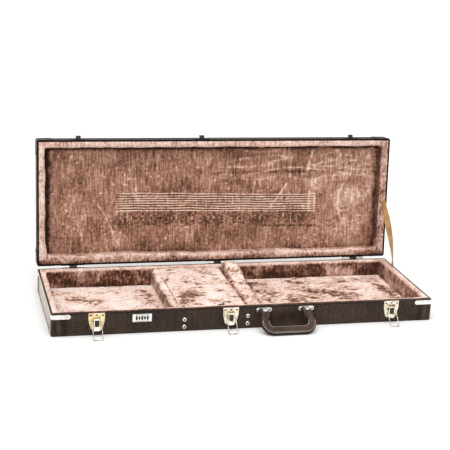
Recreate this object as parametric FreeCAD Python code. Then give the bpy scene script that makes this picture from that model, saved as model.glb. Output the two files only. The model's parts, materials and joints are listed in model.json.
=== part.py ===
"""Rectangular hard case for an electric guitar, standing open, in millimetres.

The origin is the centre of the tray's underside. +X runs along the case, -Y is the handle side,
+Z is up. The lid is drawn closed on the tray and then turned back about its hinge line.
"""
import FreeCAD, Part
import math
import os

V = FreeCAD.Vector

# overall size
LENGTH = 1040.0
DEPTH = 356.0
TRAY_HEIGHT = 61.0
LID_HEIGHT = 45.0
RIM_GAP = 0.5
LID_OPEN_DEG = 95.4

# plywood, covering and lining
COVER = 1.0
BOARD = 8.0
PANEL = 4.0
CORNER_RADIUS = 6.0
TURN_IN = 5.0
RIM_RISE = 1.0
WALL_PAD = 12.0
LID_PAD = 13.0
LID_LINING = 5.0
HEADSTOCK_PAD = 3.0
BODY_PAD = 10.0

HALF_X = LENGTH / 2
HALF_Y = DEPTH / 2
WALL = COVER + BOARD
INNER_X = HALF_X - WALL - WALL_PAD
INNER_Y = HALF_Y - WALL - WALL_PAD
FLOOR = COVER + PANEL
LID_BASE = TRAY_HEIGHT + RIM_GAP
LID_TOP = LID_BASE + LID_HEIGHT

# accessory compartment and neck cradle
PARTITION = 6.0
PARTITION_TOP = 46.0
LEFT_PARTITION_X = -173.5
RIGHT_PARTITION_X = -2.4
PARTITION_PAD = 23.5
COMPARTMENT_LID_BOARD = 3.8
COMPARTMENT_LID_PAD = 6.0
COMPARTMENT_PIVOT_X = -176.0
CRADLE_X = (2.0, 66.0)
CRADLE_TOP_X = 46.0

# lid hinges
HINGE_XS = (-420.0, 0.0, 420.0)
HINGE_OFFSET = 4.6
HINGE_Y = HALF_Y + HINGE_OFFSET
HINGE_Z = TRAY_HEIGHT + RIM_GAP / 2
HINGE_WIDTH = 66.0
LEAF = 1.4
LEAF_DROP = 21.0
KNUCKLE_RADIUS = 3.4
HINGE_PIN_RADIUS = 1.7
RUNNING_GAP = 0.05

# draw latches
LATCH_XS = {"left": -404.0, "middle": -50.0, "right": 401.0}
LATCH_TOP = 60.0
LEVER_PIVOT_OUT = 6.5
LEVER_PIVOT_Z = 46.0
BAIL_PIVOT_Z = 36.0
BAIL_LENGTH = 48.0
BAIL_HALF_WIDTH = 12.0
BAIL_WIRE = 1.2
LATCH_PIN_RADIUS = 1.2

# handle
HANDLE_X = 99.0
HANDLE_WIDTH = 152.0
HANDLE_BAR = 26.0
HANDLE_REACH = 73.0
HANDLE_START = 9.0
HANDLE_THICKNESS = 14.0
HANDLE_PIVOT_Z = 50.0
HANDLE_PIVOT_OUT = 9.0
BRACKET_SPACING = 117.0
RING_WIRE = 2.2
BRACKET_BORE = RING_WIRE + RUNNING_GAP

# corner hardware
CLAMP_ARM = 50.0
CLAMP_SIDE_ARM = 36.0
CLAMP_HEIGHT = 12.0
CLAMP_METAL = 1.0
WRAP_ARM = 44.0
WRAP_SHEET = 0.8

# lid stay
STRAP_X = 514.0
STRAP_BOW = 18.0
STRAP_SHEET = 2.0
STRAP_TRAY_Y = (83.0, 111.0)
STRAP_LID_REACH = (150.0, 92.0)

# fasteners: head radius, head height, shank radius, shank length
NAIL = (2.2, 1.0, 0.8, 6.0)
PLATE_PIN = (1.4, 0.6, 0.7, 6.0)
RIVET = (3.2, 1.6, 1.5, 7.0)
HINGE_RIVET = (2.4, 1.2, 1.1, 7.0)
STRAP_STUD = (4.0, 2.0, 1.6, 6.0)
STRAP_STUD_Z = 52.0


def box(low, high):
    size = [b - a for a, b in zip(low, high)]
    return Part.makeBox(*size, V(*low))


def rounded_block(half_x, half_y, z0, z1, radius):
    """A block centred on the Z axis with its four upright edges rounded."""
    block = box((-half_x, -half_y, z0), (half_x, half_y, z1))
    upright = [e for e in block.Edges if abs(e.tangentAt(e.FirstParameter).z) > 0.9]
    return block.makeFillet(radius, upright)


def prism(points, along):
    """A polygon pushed along a vector."""
    corners = [V(*p) for p in points]
    return Part.Face(Part.makePolygon(corners + corners[:1])).extrude(V(*along))


def side_prism(outline, x0, x1):
    """A polygon given as (distance out of the front face, z), extruded from x0 to x1."""
    return prism([(x0, -HALF_Y - out, z) for out, z in outline], (x1 - x0, 0, 0))


def rod(start, end, radius):
    axis = V(*end) - V(*start)
    return Part.makeCylinder(radius, axis.Length, V(*start), axis)


def fuse(shapes):
    return shapes[0].multiFuse(shapes[1:]).removeSplitter()


def cut(shape, tools):
    return shape.cut(Part.makeCompound(tools))


def moved(shape, x=0.0, y=0.0, z=0.0):
    copy = shape.copy()
    copy.translate(V(x, y, z))
    return copy


def turned(shape, centre, axis, degrees):
    copy = shape.copy()
    copy.rotate(V(*centre), V(*axis), degrees)
    return copy


def mirror_x(shape):
    return shape.mirror(V(0, 0, 0), V(1, 0, 0))


def mirror_y(shape):
    return shape.mirror(V(0, 0, 0), V(0, 1, 0))


def four_corners(shape):
    pair = [shape, mirror_x(shape)]
    return pair + [mirror_y(s) for s in pair]


def opened(shape):
    """A lid part, drawn closed, turned back to where the stay strap stops it."""
    return turned(shape, (0, HINGE_Y, HINGE_Z), (-1, 0, 0), LID_OPEN_DEG)


def bent_wire(points, bend, radius):
    """A round wire through the points, with an arc of the bend radius at each corner."""
    corners = [V(*p) for p in points]
    edges = []
    start = corners[0]
    for before, here, after in zip(corners, corners[1:], corners[2:]):
        back = (before - here).normalize()
        ahead = (after - here).normalize()
        half_turn = (math.pi - back.getAngle(ahead)) / 2
        cut_back = bend * math.tan(half_turn)
        first = here + back * cut_back
        last = here + ahead * cut_back
        inward = (back + ahead).normalize()
        middle = here + inward * (bend / math.cos(half_turn) - bend)
        edges.append(Part.LineSegment(start, first).toShape())
        edges.append(Part.Arc(first, middle, last).toShape())
        start = last
    edges.append(Part.LineSegment(start, corners[-1]).toShape())
    ring = Part.Wire(Part.makeCircle(radius, corners[0], corners[1] - corners[0]))
    return Part.Wire(edges).makePipeShell([ring], True, False)


def fastener(point, outward, sizes):
    """A domed head on the surface with its shank driven straight in."""
    head_radius, head_height, shank_radius, shank_length = sizes
    out = V(*outward)
    head = Part.makeCone(head_radius, head_radius * 0.55, head_height, V(*point), out)
    shank = Part.makeCylinder(shank_radius, shank_length, V(*point) - out * shank_length, out)
    return head.fuse(shank)


def shell(height, z_panel, pad):
    """Panel, boards, covering and wall lining of one half, rim up, underside at z 0."""
    board_top = height - RIM_RISE - COVER
    inside = rounded_block(HALF_X - COVER, HALF_Y - COVER, COVER, board_top, CORNER_RADIUS - COVER)
    outside = rounded_block(HALF_X, HALF_Y, COVER, board_top + COVER, CORNER_RADIUS)
    mouth = box((-HALF_X + TURN_IN, -HALF_Y + TURN_IN, 0), (HALF_X - TURN_IN, HALF_Y - TURN_IN, height))
    x_in = HALF_X - WALL
    y_in = HALF_Y - WALL
    long_board = box((-HALF_X, -HALF_Y, COVER), (HALF_X, -y_in, board_top)).common(inside)
    end_board = box((-HALF_X + COVER, -y_in, COVER), (-x_in, y_in, board_top))
    x_lip = HALF_X - TURN_IN
    y_lip = HALF_Y - TURN_IN
    y_pad = y_in - pad
    long_pad = fuse([
        box((-x_in, -y_in, z_panel), (x_in, -y_pad, height)),
        box((-x_lip, -y_lip, board_top), (x_lip, -y_in, height)),
    ])
    end_pad = fuse([
        box((-x_in, -y_pad, z_panel), (-x_in + pad, y_pad, height)),
        box((-x_lip, -y_in, board_top), (-x_in, y_in, height)),
    ])
    return {
        "panel": box((-x_in, -y_in, COVER), (x_in, y_in, FLOOR)),
        "front_board": long_board,
        "back_board": mirror_y(long_board),
        "left_board": end_board,
        "right_board": mirror_x(end_board),
        "face_cover": rounded_block(HALF_X, HALF_Y, 0, COVER, CORNER_RADIUS),
        "side_cover": outside.cut(inside).cut(mouth),
        "lining_front": long_pad,
        "lining_back": mirror_y(long_pad),
        "lining_left": cut(end_pad, [long_pad, mirror_y(long_pad)]),
        "lining_right": mirror_x(cut(end_pad, [long_pad, mirror_y(long_pad)])),
    }


def onto_tray(shape):
    """A half drawn rim up, turned over onto the closed tray."""
    return moved(shape.mirror(V(0, 0, 0), V(0, 0, 1)), z=LID_TOP)


def corner_band(z0, z1, sheet, arm, side_arm, round_end):
    """One sheet bent round the left front corner, with square or round arm ends."""
    height = z1 - z0
    end = height / 2 if round_end else 0.0
    band = rounded_block(HALF_X + sheet, HALF_Y + sheet, z0, z1, CORNER_RADIUS + sheet)
    band = band.cut(rounded_block(HALF_X, HALF_Y, z0, z1, CORNER_RADIUS))
    x_end = -HALF_X + arm
    y_end = -HALF_Y + side_arm
    low = (-HALF_X - sheet, -HALF_Y - sheet, z0)
    masks = [
        box(low, (x_end - end, -HALF_Y + CORNER_RADIUS, z1)),
        box(low, (-HALF_X + CORNER_RADIUS, y_end - end, z1)),
    ]
    if round_end:
        middle = (z0 + z1) / 2
        masks.append(rod((x_end - end, -HALF_Y - sheet, middle), (x_end - end, -HALF_Y, middle), end))
        masks.append(rod((-HALF_X - sheet, y_end - end, middle), (-HALF_X, y_end - end, middle), end))
    return band.common(fuse(masks))


def clamp_nails(z):
    """The nails in the arms of the four corner clamps at one height."""
    inset = CLAMP_HEIGHT / 2
    front = fastener(
        (-HALF_X + CLAMP_ARM - inset, -HALF_Y - CLAMP_METAL, z), (0, -1, 0), NAIL
    )
    side = fastener(
        (-HALF_X - CLAMP_METAL, -HALF_Y + CLAMP_SIDE_ARM - inset, z), (-1, 0, 0), NAIL
    )
    return four_corners(front) + four_corners(side)


def neck_cradle():
    """A padded block across the tray: tallest near the back, dipped where the neck lies."""
    x0, x1 = CRADLE_X
    heights = ((150.0, 62.0), (138.0, 78.0), (108.0, 79.0), (70.0, 66.0), (20.0, 57.0), (-70.0, 56.0), (-150.0, 53.0))
    sections = []
    for y, top in heights:
        shoulder = FLOOR + BODY_PAD + 2.0
        points = [
            (x0, y, FLOOR), (x1, y, FLOOR), (x1, y, shoulder),
            (CRADLE_TOP_X, y, top - 8.0), (CRADLE_TOP_X - 9.0, y, top),
            (x0 + 7.0, y, top), (x0, y, top - 8.0),
        ]
        corners = [V(*p) for p in points]
        sections.append(Part.makePolygon(corners + corners[:1]))
    return Part.makeLoft(sections, True, True)


def partitions():
    """The two boards that wall off the accessory compartment."""
    half = PARTITION / 2
    return {
        f"partition_{side}": box((x - half, -INNER_Y, FLOOR), (x + half, INNER_Y, PARTITION_TOP))
        for side, x in (("left", LEFT_PARTITION_X), ("right", RIGHT_PARTITION_X))
    }


def partition_pad():
    x1 = LEFT_PARTITION_X - PARTITION / 2
    top = PARTITION_TOP + COMPARTMENT_LID_BOARD + COMPARTMENT_LID_PAD
    block = box((x1 - PARTITION_PAD, -INNER_Y, FLOOR + HEADSTOCK_PAD), (x1, INNER_Y, top))
    ridge = [e for e in block.Edges if e.BoundBox.XMax < x1 - 1 and e.BoundBox.ZMin > top - 1]
    return block.makeFillet(9.0, ridge)


def compartment_lid():
    """A thin board and its plush pad, lying on the two partitions."""
    z0 = PARTITION_TOP + 0.2
    z1 = z0 + COMPARTMENT_LID_BOARD
    x0 = COMPARTMENT_PIVOT_X + 0.6
    x1 = RIGHT_PARTITION_X - 1.1
    y = INNER_Y - 1.5
    board = box((x0, -y, z0), (x1, y, z1))
    pad = box((x0, -y, z1), (x1, y, z1 + COMPARTMENT_LID_PAD))
    return board, pad


def eyelets():
    """Hollow rivets through the long walls that hold the partitions, front and back."""
    rings = []
    shanks = []
    for x, heights in ((LEFT_PARTITION_X, (31.0, 11.0)), (RIGHT_PARTITION_X, (34.0, 13.0))):
        for z in heights:
            face = V(x, -HALF_Y, z)
            flange = Part.makeCone(5.5, 4.6, 1.2, face, V(0, -1, 0))
            shank = Part.makeCylinder(3.4, WALL - 1.0, face, V(0, 1, 0))
            bore = Part.makeCylinder(2.2, 7.0, face - V(0, 2, 0), V(0, 1, 0))
            ring = flange.fuse(shank).cut(bore)
            rings += [ring, mirror_y(ring)]
            shanks += [shank, mirror_y(shank)]
    return rings, shanks


def nameplate():
    """A blank oblong plate with a pin hole at each end, and its two pins."""
    x0, x1, z0, z1 = -311.0, -261.0, 31.0, 52.0
    plate = box((x0, -HALF_Y - 1.0, z0), (x1, -HALF_Y, z1))
    upright = [e for e in plate.Edges if abs(e.tangentAt(e.FirstParameter).y) > 0.9]
    plate = plate.makeFillet(1.5, upright)
    middle = (z0 + z1) / 2
    pins = [fastener((x, -HALF_Y - 1.0, middle), (0, -1, 0), PLATE_PIN) for x in (x0 + 3, x1 - 3)]
    return plate, pins


def hinge_leaf_pair():
    """One hinge at x 0, closed: the tray leaf, the lid leaf, the pin and the rivets of each leaf."""
    half = HINGE_WIDTH / 2
    third = HINGE_WIDTH / 6
    face = HALF_Y
    bore = rod((-half - 1, HINGE_Y, HINGE_Z), (half + 1, HINGE_Y, HINGE_Z), HINGE_PIN_RADIUS + RUNNING_GAP)
    clear = KNUCKLE_RADIUS + 0.4

    def knuckle(x0, x1, toward):
        barrel = rod((x0, HINGE_Y, HINGE_Z), (x1, HINGE_Y, HINGE_Z), KNUCKLE_RADIUS)
        z0, z1 = sorted((HINGE_Z, HINGE_Z + toward * (clear + 1.0)))
        return barrel.fuse(box((x0, face, z0), (x1, face + LEAF, z1)))

    tray_plate = box((-half, face, HINGE_Z - LEAF_DROP), (half, face + LEAF, HINGE_Z - clear))
    lid_plate = box((-half, face, HINGE_Z + clear), (half, face + LEAF, HINGE_Z + LEAF_DROP))
    tray_leaf = fuse([tray_plate, knuckle(-half, -third - 0.2, -1), knuckle(third + 0.2, half, -1)]).cut(bore)
    lid_leaf = lid_plate.fuse(knuckle(-third + 0.2, third - 0.2, 1)).cut(bore)
    pin = rod((-half, HINGE_Y, HINGE_Z), (half, HINGE_Y, HINGE_Z), HINGE_PIN_RADIUS)
    rivets = {}
    for key, toward in (("tray", -1), ("lid", 1)):
        spots = ((-half + 6, 0.45), (0.0, 0.8), (half - 6, 0.45))
        rivets[key] = [
            fastener((x, face + LEAF, HINGE_Z + toward * LEAF_DROP * share), (0, 1, 0), HINGE_RIVET)
            for x, share in spots
        ]
    return tray_leaf, lid_leaf, pin, rivets


def latch_plate():
    """The base of a latch at x 0, with two ears for the lever."""
    outline = ((21, 60), (21, 41), (15.5, 18), (12, 14), (-12, 14), (-15.5, 18), (-21, 41), (-21, 60))
    plate = prism([(x, -HALF_Y, z) for x, z in outline], (0, -LEAF, 0))
    plate = plate.cut(box((-5.5, -HALF_Y - LEAF, 20), (5.5, -HALF_Y, 34)))
    ear_outline = (
        (LEAF - 0.2, LEVER_PIVOT_Z - 5), (LEVER_PIVOT_OUT + 1.5, LEVER_PIVOT_Z - 3),
        (LEVER_PIVOT_OUT + 2.8, LEVER_PIVOT_Z), (LEVER_PIVOT_OUT + 1.5, LEVER_PIVOT_Z + 3),
        (LEAF - 0.2, LEVER_PIVOT_Z + 5),
    )
    ears = [side_prism(ear_outline, 8.4, 9.8), side_prism(ear_outline, -9.8, -8.4)]
    bore = lever_axis(30.0, LATCH_PIN_RADIUS)
    return fuse([plate] + ears).cut(bore)


def lever_axis(length, radius):
    y = -HALF_Y - LEVER_PIVOT_OUT
    return rod((-length / 2, y, LEVER_PIVOT_Z), (length / 2, y, LEVER_PIVOT_Z), radius)


def latch_pin():
    heads = [lever_axis(20.8, 1.9).cut(lever_axis(19.8, 2.5))]
    return fuse([lever_axis(20.8, LATCH_PIN_RADIUS)] + heads)


def latch_lever():
    """The lever of a latch at x 0, shut: a channel with a thumb lip and a window in its web."""
    flange = ((4.0, 49.0), (8.0, 49.0), (9.2, 46.5), (9.2, 20.5), (8.0, 20.0), (4.6, 27.0))
    flanges = [side_prism(flange, 6.4, 7.8), side_prism(flange, -7.8, -6.4)]
    web = side_prism(((8.0, 47.0), (9.2, 46.5), (9.2, 20.0), (8.0, 20.0)), -7.8, 7.8)
    window = side_prism(((7.0, 38.0), (10.0, 38.0), (10.0, 25.0), (7.0, 25.0)), -4.5, 4.5)
    lip = side_prism(((8.0, 20.2), (9.2, 20.2), (13.2, 16.0), (12.4, 15.1), (8.0, 19.0)), -7.2, 7.2)
    lever = fuse(flanges + [web, lip]).cut(window)
    lever = lever.cut(lever_axis(30.0, LATCH_PIN_RADIUS + RUNNING_GAP))
    y = -HALF_Y - LEVER_PIVOT_OUT
    return lever.cut(rod((-9, y, BAIL_PIVOT_Z), (9, y, BAIL_PIVOT_Z), BAIL_WIRE + RUNNING_GAP))


def latch_bail():
    """The wire loop of a latch at x 0, hanging out of the lever with its end on the ground."""
    lean = math.acos((BAIL_PIVOT_Z - BAIL_WIRE) / BAIL_LENGTH)
    y = -HALF_Y - LEVER_PIVOT_OUT
    y_end = y - BAIL_LENGTH * math.sin(lean)
    wide = BAIL_HALF_WIDTH
    points = [
        (-6.9, y, BAIL_PIVOT_Z), (-wide, y, BAIL_PIVOT_Z), (-wide, y_end, BAIL_WIRE),
        (wide, y_end, BAIL_WIRE), (wide, y, BAIL_PIVOT_Z), (6.9, y, BAIL_PIVOT_Z),
    ]
    return bent_wire(points, 2.4, BAIL_WIRE)


def keeper():
    """The catch on the lid's front at x 0, closed: a plate with an upturned hook."""
    outline = ((-20, 68), (-20, 90), (-14, 94), (14, 94), (20, 90), (20, 68))
    plate = prism([(x, -HALF_Y, z) for x, z in outline], (0, -LEAF, 0))
    shelf_top = BAIL_PIVOT_Z + BAIL_LENGTH - BAIL_WIRE - 0.3
    hook = (
        (LEAF - 0.2, shelf_top), (8.2, shelf_top), (8.2, shelf_top + 4.5), (9.6, shelf_top + 5.0),
        (9.6, shelf_top - 1.0), (8.6, shelf_top - 2.2), (LEAF - 0.2, shelf_top - 3.4),
    )
    rivets = [fastener((x, -HALF_Y - LEAF, 73.5), (0, -1, 0), RIVET) for x in (-14.5, 14.5)]
    return plate.fuse(side_prism(hook, -7, 7)), rivets


def handle_plate(inset, thickness, radius, start):
    """The U outline of the handle, shrunk by inset all round, as a flat plate."""
    half = HANDLE_WIDTH / 2 - inset
    arm = HANDLE_BAR - 2 * inset
    reach = HANDLE_REACH - inset
    inner = half - arm
    bridge = reach - arm
    outer_round = radius + 12.0
    diagonal = math.sqrt(0.5)

    def side(sign, edge, far, round_off):
        middle = round_off * (1 - diagonal)
        return [
            V(sign * edge, far - round_off, 0),
            V(sign * (edge - middle), far - middle, 0),
            V(sign * (edge - round_off), far, 0),
        ]

    left = side(-1, half, reach, outer_round)
    right = side(1, half, reach, outer_round)
    left_in = side(-1, inner, bridge, radius)
    right_in = side(1, inner, bridge, radius)
    start_points = [V(-half, start, 0), V(half, start, 0), V(inner, start, 0), V(-inner, start, 0)]
    edges = [
        Part.LineSegment(start_points[0], left[0]),
        Part.Arc(*left),
        Part.LineSegment(left[2], right[2]),
        Part.Arc(*right),
        Part.LineSegment(right[0], start_points[1]),
        Part.LineSegment(start_points[1], start_points[2]),
        Part.LineSegment(start_points[2], right_in[0]),
        Part.Arc(*right_in),
        Part.LineSegment(right_in[2], left_in[2]),
        Part.Arc(*left_in),
        Part.LineSegment(left_in[0], start_points[3]),
        Part.LineSegment(start_points[3], start_points[0]),
    ]
    outline = Part.Wire([e.toShape() for e in edges])
    return moved(Part.Face(outline), z=-thickness / 2).extrude(V(0, 0, thickness))


def place_handle(shape):
    """Carry a shape from the handle's own XY plane, pivot at 0, to where the handle lies on the ground."""
    half = HANDLE_THICKNESS / 2
    droop = math.degrees(math.asin((HANDLE_PIVOT_Z - half) / (HANDLE_REACH - half)))
    tilted = turned(shape, (0, 0, 0), (1, 0, 0), 180 + droop)
    return moved(tilted, HANDLE_X, -HALF_Y - HANDLE_PIVOT_OUT, HANDLE_PIVOT_Z)


def handle_parts():
    """The leather grip, the strap inside it and the two wire rings, in the handle's own plane."""
    half = HANDLE_THICKNESS / 2
    grip = handle_plate(0.0, HANDLE_THICKNESS, 12.0, HANDLE_START)
    long_edges = [e for e in grip.Edges if abs(abs(e.CenterOfMass.z) - half) < 0.01 and e.CenterOfMass.y > HANDLE_START + 1]
    grip = grip.makeFillet(5.0, long_edges)
    core = handle_plate(9.0, 3.0, 6.0, 24.0)
    rings = []
    for side in (-1, 1):
        x = side * BRACKET_SPACING / 2
        wide = 9.0
        reach = 16.0
        points = [
            (x, 0, 0), (x + wide, 0, 0), (x + wide, reach, 0),
            (x - wide, reach, 0), (x - wide, 0, 0), (x - 0.05, 0, 0),
        ]
        rings.append(bent_wire(points, 2.6, RING_WIRE))
    grip = cut(grip, [core] + rings)
    return grip, core, rings


def handle_bracket(x):
    """A plate on the tray's front with a barrel that the handle's ring turns in."""
    y = -HALF_Y
    z = HANDLE_PIVOT_Z
    plate = box((x - 21, y - LEAF, z - 6), (x + 21, y, z + 6))
    upright = [e for e in plate.Edges if abs(e.tangentAt(e.FirstParameter).y) > 0.9]
    plate = plate.makeFillet(5.0, upright)
    y_pivot = y - HANDLE_PIVOT_OUT
    barrel = rod((x - 5, y_pivot, z), (x + 5, y_pivot, z), 4.2)
    neck = box((x - 5, y_pivot, z - 4.2), (x + 5, y - LEAF + 0.2, z + 4.2))
    bore = rod((x - 6, y_pivot, z), (x + 6, y_pivot, z), BRACKET_BORE)
    rivets = [fastener((x + dx, y - LEAF, z), (0, -1, 0), RIVET) for dx in (-15.5, 15.5)]
    return fuse([plate, barrel, neck]).cut(bore), rivets


def stay_strap():
    """A leather strip from the tray's right rim to the open lid's right rim, bowed outwards."""
    half = STRAP_SHEET / 2
    z_low = TRAY_HEIGHT + 0.4
    low = [V(STRAP_X, y, z_low) for y in STRAP_TRAY_Y]
    lid_points = [V(STRAP_X, HINGE_Y - reach, LID_BASE - 0.4) for reach in STRAP_LID_REACH]
    rim_line = opened(Part.LineSegment(*lid_points).toShape())
    high = [rim_line.valueAt(rim_line.FirstParameter), rim_line.valueAt(rim_line.LastParameter)]
    bow = V(STRAP_BOW, 0, 0)
    middle = [(a + b) * 0.5 + bow for a, b in zip(low, high)]
    sections = []
    for first, last in (low, middle, high):
        near = V(half, 0, 0)
        sections.append(Part.makePolygon([first - near, last - near, last + near, first + near, first - near]))
    return Part.makeLoft(sections, True, False)


def build():
    """Every node of the case as name: list of solids."""
    nodes = {}

    tray = shell(TRAY_HEIGHT, FLOOR, WALL_PAD)
    lid = {k: onto_tray(s) for k, s in shell(LID_HEIGHT, FLOOR + LID_LINING, LID_PAD).items()}

    clamp_z = TRAY_HEIGHT - RIM_RISE - 2.0 - CLAMP_HEIGHT
    lid_clamp_z = LID_BASE + RIM_RISE + 2.0
    nodes["tray_corner_clamps"] = four_corners(
        corner_band(clamp_z, clamp_z + CLAMP_HEIGHT, CLAMP_METAL, CLAMP_ARM, CLAMP_SIDE_ARM, True)
    )
    nodes["lid_corner_clamps"] = four_corners(
        corner_band(lid_clamp_z, lid_clamp_z + CLAMP_HEIGHT, CLAMP_METAL, CLAMP_ARM, CLAMP_SIDE_ARM, True)
    )
    nodes["tray_corner_wraps"] = four_corners(
        corner_band(COVER, clamp_z - 0.5, WRAP_SHEET, WRAP_ARM, WRAP_ARM, False)
    )
    nodes["lid_corner_wraps"] = four_corners(
        corner_band(lid_clamp_z + CLAMP_HEIGHT + 0.5, LID_TOP, WRAP_SHEET, WRAP_ARM, WRAP_ARM, False)
    )

    plate, plate_pins = nameplate()
    tray_nails = clamp_nails(clamp_z + CLAMP_HEIGHT / 2) + plate_pins
    lid_nails = clamp_nails(lid_clamp_z + CLAMP_HEIGHT / 2)
    rings, eyelet_shanks = eyelets()

    tray_leaf, lid_leaf, hinge_pin, leaf_rivets = hinge_leaf_pair()
    tray_leaf = cut(tray_leaf, leaf_rivets["tray"])
    lid_leaf = cut(lid_leaf, leaf_rivets["lid"])
    tray_rivets = [moved(r, x) for x in HINGE_XS for r in leaf_rivets["tray"]]
    lid_rivets = [moved(r, x) for x in HINGE_XS for r in leaf_rivets["lid"]]

    latch_rivet_spots = ((-15.5, 54.5), (15.5, 54.5), (0.0, 55.5))
    latch_rivets = [fastener((x, -HALF_Y - LEAF, z), (0, -1, 0), RIVET) for x, z in latch_rivet_spots]
    base = cut(latch_plate(), latch_rivets)
    catch, catch_rivets = keeper()
    catch = cut(catch, catch_rivets)
    tray_rivets += [moved(r, x) for x in LATCH_XS.values() for r in latch_rivets]
    lid_rivets += [moved(r, x) for x in LATCH_XS.values() for r in catch_rivets]
    for side, x in LATCH_XS.items():
        nodes[f"latch_plate_{side}"] = [moved(base, x)]
        nodes[f"latch_lever_{side}"] = [moved(latch_lever(), x)]
        nodes[f"latch_bail_{side}"] = [moved(latch_bail(), x)]
    nodes["latch_pins"] = [moved(latch_pin(), x) for x in LATCH_XS.values()]
    nodes["keepers"] = [opened(moved(catch, x)) for x in LATCH_XS.values()]

    grip, core, handle_rings = handle_parts()
    nodes["handle_grip"] = [place_handle(grip)]
    nodes["handle_core"] = [place_handle(core)]
    nodes["handle_rings"] = [place_handle(r) for r in handle_rings]
    brackets = []
    for side in (-1, 1):
        bracket, rivets = handle_bracket(HANDLE_X + side * BRACKET_SPACING / 2)
        brackets.append(cut(bracket, rivets))
        tray_rivets += rivets
    nodes["handle_brackets"] = brackets

    stud = fastener((HALF_X, sum(STRAP_TRAY_Y) / 2, STRAP_STUD_Z), (1, 0, 0), STRAP_STUD)
    tray_fasteners = tray_nails + tray_rivets + eyelet_shanks + [stud]
    lid_fasteners = lid_nails + lid_rivets
    for key, shape in tray.items():
        tray[key] = cut(shape, tray_fasteners)
    for key, shape in lid.items():
        lid[key] = cut(shape, lid_fasteners)
    nodes["tray_corner_clamps"] = [cut(s, tray_nails) for s in nodes["tray_corner_clamps"]]
    nodes["lid_corner_clamps"] = [opened(cut(s, lid_nails)) for s in nodes["lid_corner_clamps"]]
    nodes["lid_corner_wraps"] = [opened(s) for s in nodes["lid_corner_wraps"]]

    nodes["tray_bottom_panel"] = [tray["panel"]]
    nodes["tray_base_cover"] = [tray["face_cover"]]
    nodes["tray_side_cover"] = [tray["side_cover"]]
    nodes["lid_top_panel"] = [opened(lid["panel"])]
    nodes["lid_cover"] = [opened(lid["face_cover"].fuse(lid["side_cover"]).removeSplitter())]
    for side in ("front", "back", "left", "right"):
        nodes[f"tray_{side}_board"] = [tray[f"{side}_board"]]
        nodes[f"tray_lining_{side}"] = [tray[f"lining_{side}"]]
        nodes[f"lid_{side}_board"] = [opened(lid[f"{side}_board"])]
        nodes[f"lid_lining_{side}"] = [opened(lid[f"lining_{side}"])]
    panel_x = HALF_X - WALL
    panel_y = HALF_Y - WALL
    lining_z = LID_TOP - FLOOR
    nodes["lid_lining_panel"] = [
        opened(box((-panel_x, -panel_y, lining_z - LID_LINING), (panel_x, panel_y, lining_z)))
    ]

    nodes["headstock_floor_pad"] = [
        box((-INNER_X, -INNER_Y, FLOOR), (LEFT_PARTITION_X - PARTITION / 2, INNER_Y, FLOOR + HEADSTOCK_PAD))
    ]
    nodes["body_floor_pad"] = [box((CRADLE_X[1], -INNER_Y, FLOOR), (INNER_X, INNER_Y, FLOOR + BODY_PAD))]
    for name, shape in partitions().items():
        nodes[name] = [shape]
    nodes["partition_pad"] = [partition_pad()]
    nodes["neck_cradle"] = [neck_cradle()]
    lid_board, lid_pad = compartment_lid()
    nodes["compartment_lid_board"] = [lid_board]
    nodes["compartment_lid_pad"] = [lid_pad]
    nodes["partition_eyelets"] = rings

    nodes["nameplate"] = [cut(plate, plate_pins)]
    nodes["tray_nails"] = tray_nails
    nodes["lid_nails"] = [opened(s) for s in lid_nails]
    nodes["tray_rivets"] = tray_rivets
    nodes["lid_rivets"] = [opened(s) for s in lid_rivets]
    nodes["hinge_tray_leaves"] = [moved(tray_leaf, x) for x in HINGE_XS]
    nodes["hinge_lid_leaves"] = [opened(moved(lid_leaf, x)) for x in HINGE_XS]
    nodes["hinge_pins"] = [moved(hinge_pin, x) for x in HINGE_XS]
    nodes["stay_strap"] = [stay_strap()]
    nodes["strap_stud"] = [stud]
    return nodes


def main():
    os.makedirs("parts", exist_ok=True)
    for name, solids in build().items():
        shape = solids[0] if len(solids) == 1 else Part.makeCompound(solids)
        shape.exportStep(f"parts/{name}.step")


main()
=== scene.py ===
"""Guitar case standing open: soft linings, pads, handle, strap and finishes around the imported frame.

Everything is in metres in the frame of the CAD model: the origin is the centre of the tray's
underside, +X runs along the case, -Y is the handle side and +Z is up. Lid pieces are made on the
closed case and then turned back about the hinge line, as the lid is.
"""

import json
import math

import bmesh
import bpy
import numpy as np
from mathutils import Matrix, Vector


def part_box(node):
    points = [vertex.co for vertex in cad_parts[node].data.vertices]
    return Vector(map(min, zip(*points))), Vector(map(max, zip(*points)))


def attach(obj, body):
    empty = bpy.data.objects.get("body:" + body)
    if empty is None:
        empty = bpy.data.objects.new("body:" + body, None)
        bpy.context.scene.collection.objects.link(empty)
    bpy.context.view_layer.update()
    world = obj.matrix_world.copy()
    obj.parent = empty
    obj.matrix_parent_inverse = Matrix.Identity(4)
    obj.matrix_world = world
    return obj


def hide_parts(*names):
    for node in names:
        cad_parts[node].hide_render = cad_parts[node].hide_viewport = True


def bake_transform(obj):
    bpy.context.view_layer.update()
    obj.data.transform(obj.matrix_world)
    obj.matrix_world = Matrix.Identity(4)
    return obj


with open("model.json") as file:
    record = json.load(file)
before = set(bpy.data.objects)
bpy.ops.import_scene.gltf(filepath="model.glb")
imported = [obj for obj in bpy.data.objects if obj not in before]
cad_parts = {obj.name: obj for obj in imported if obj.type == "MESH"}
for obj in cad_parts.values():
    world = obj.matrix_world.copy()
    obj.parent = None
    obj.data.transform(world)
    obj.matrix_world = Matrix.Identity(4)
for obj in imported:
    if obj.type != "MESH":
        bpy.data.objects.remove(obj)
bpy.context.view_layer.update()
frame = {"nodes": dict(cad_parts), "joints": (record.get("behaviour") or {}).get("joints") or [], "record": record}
JOINTS = {j["name"]: j for j in frame["joints"]}
MM = 0.001


# ---------------------------------------------------------------- numbers that repeat

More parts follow.
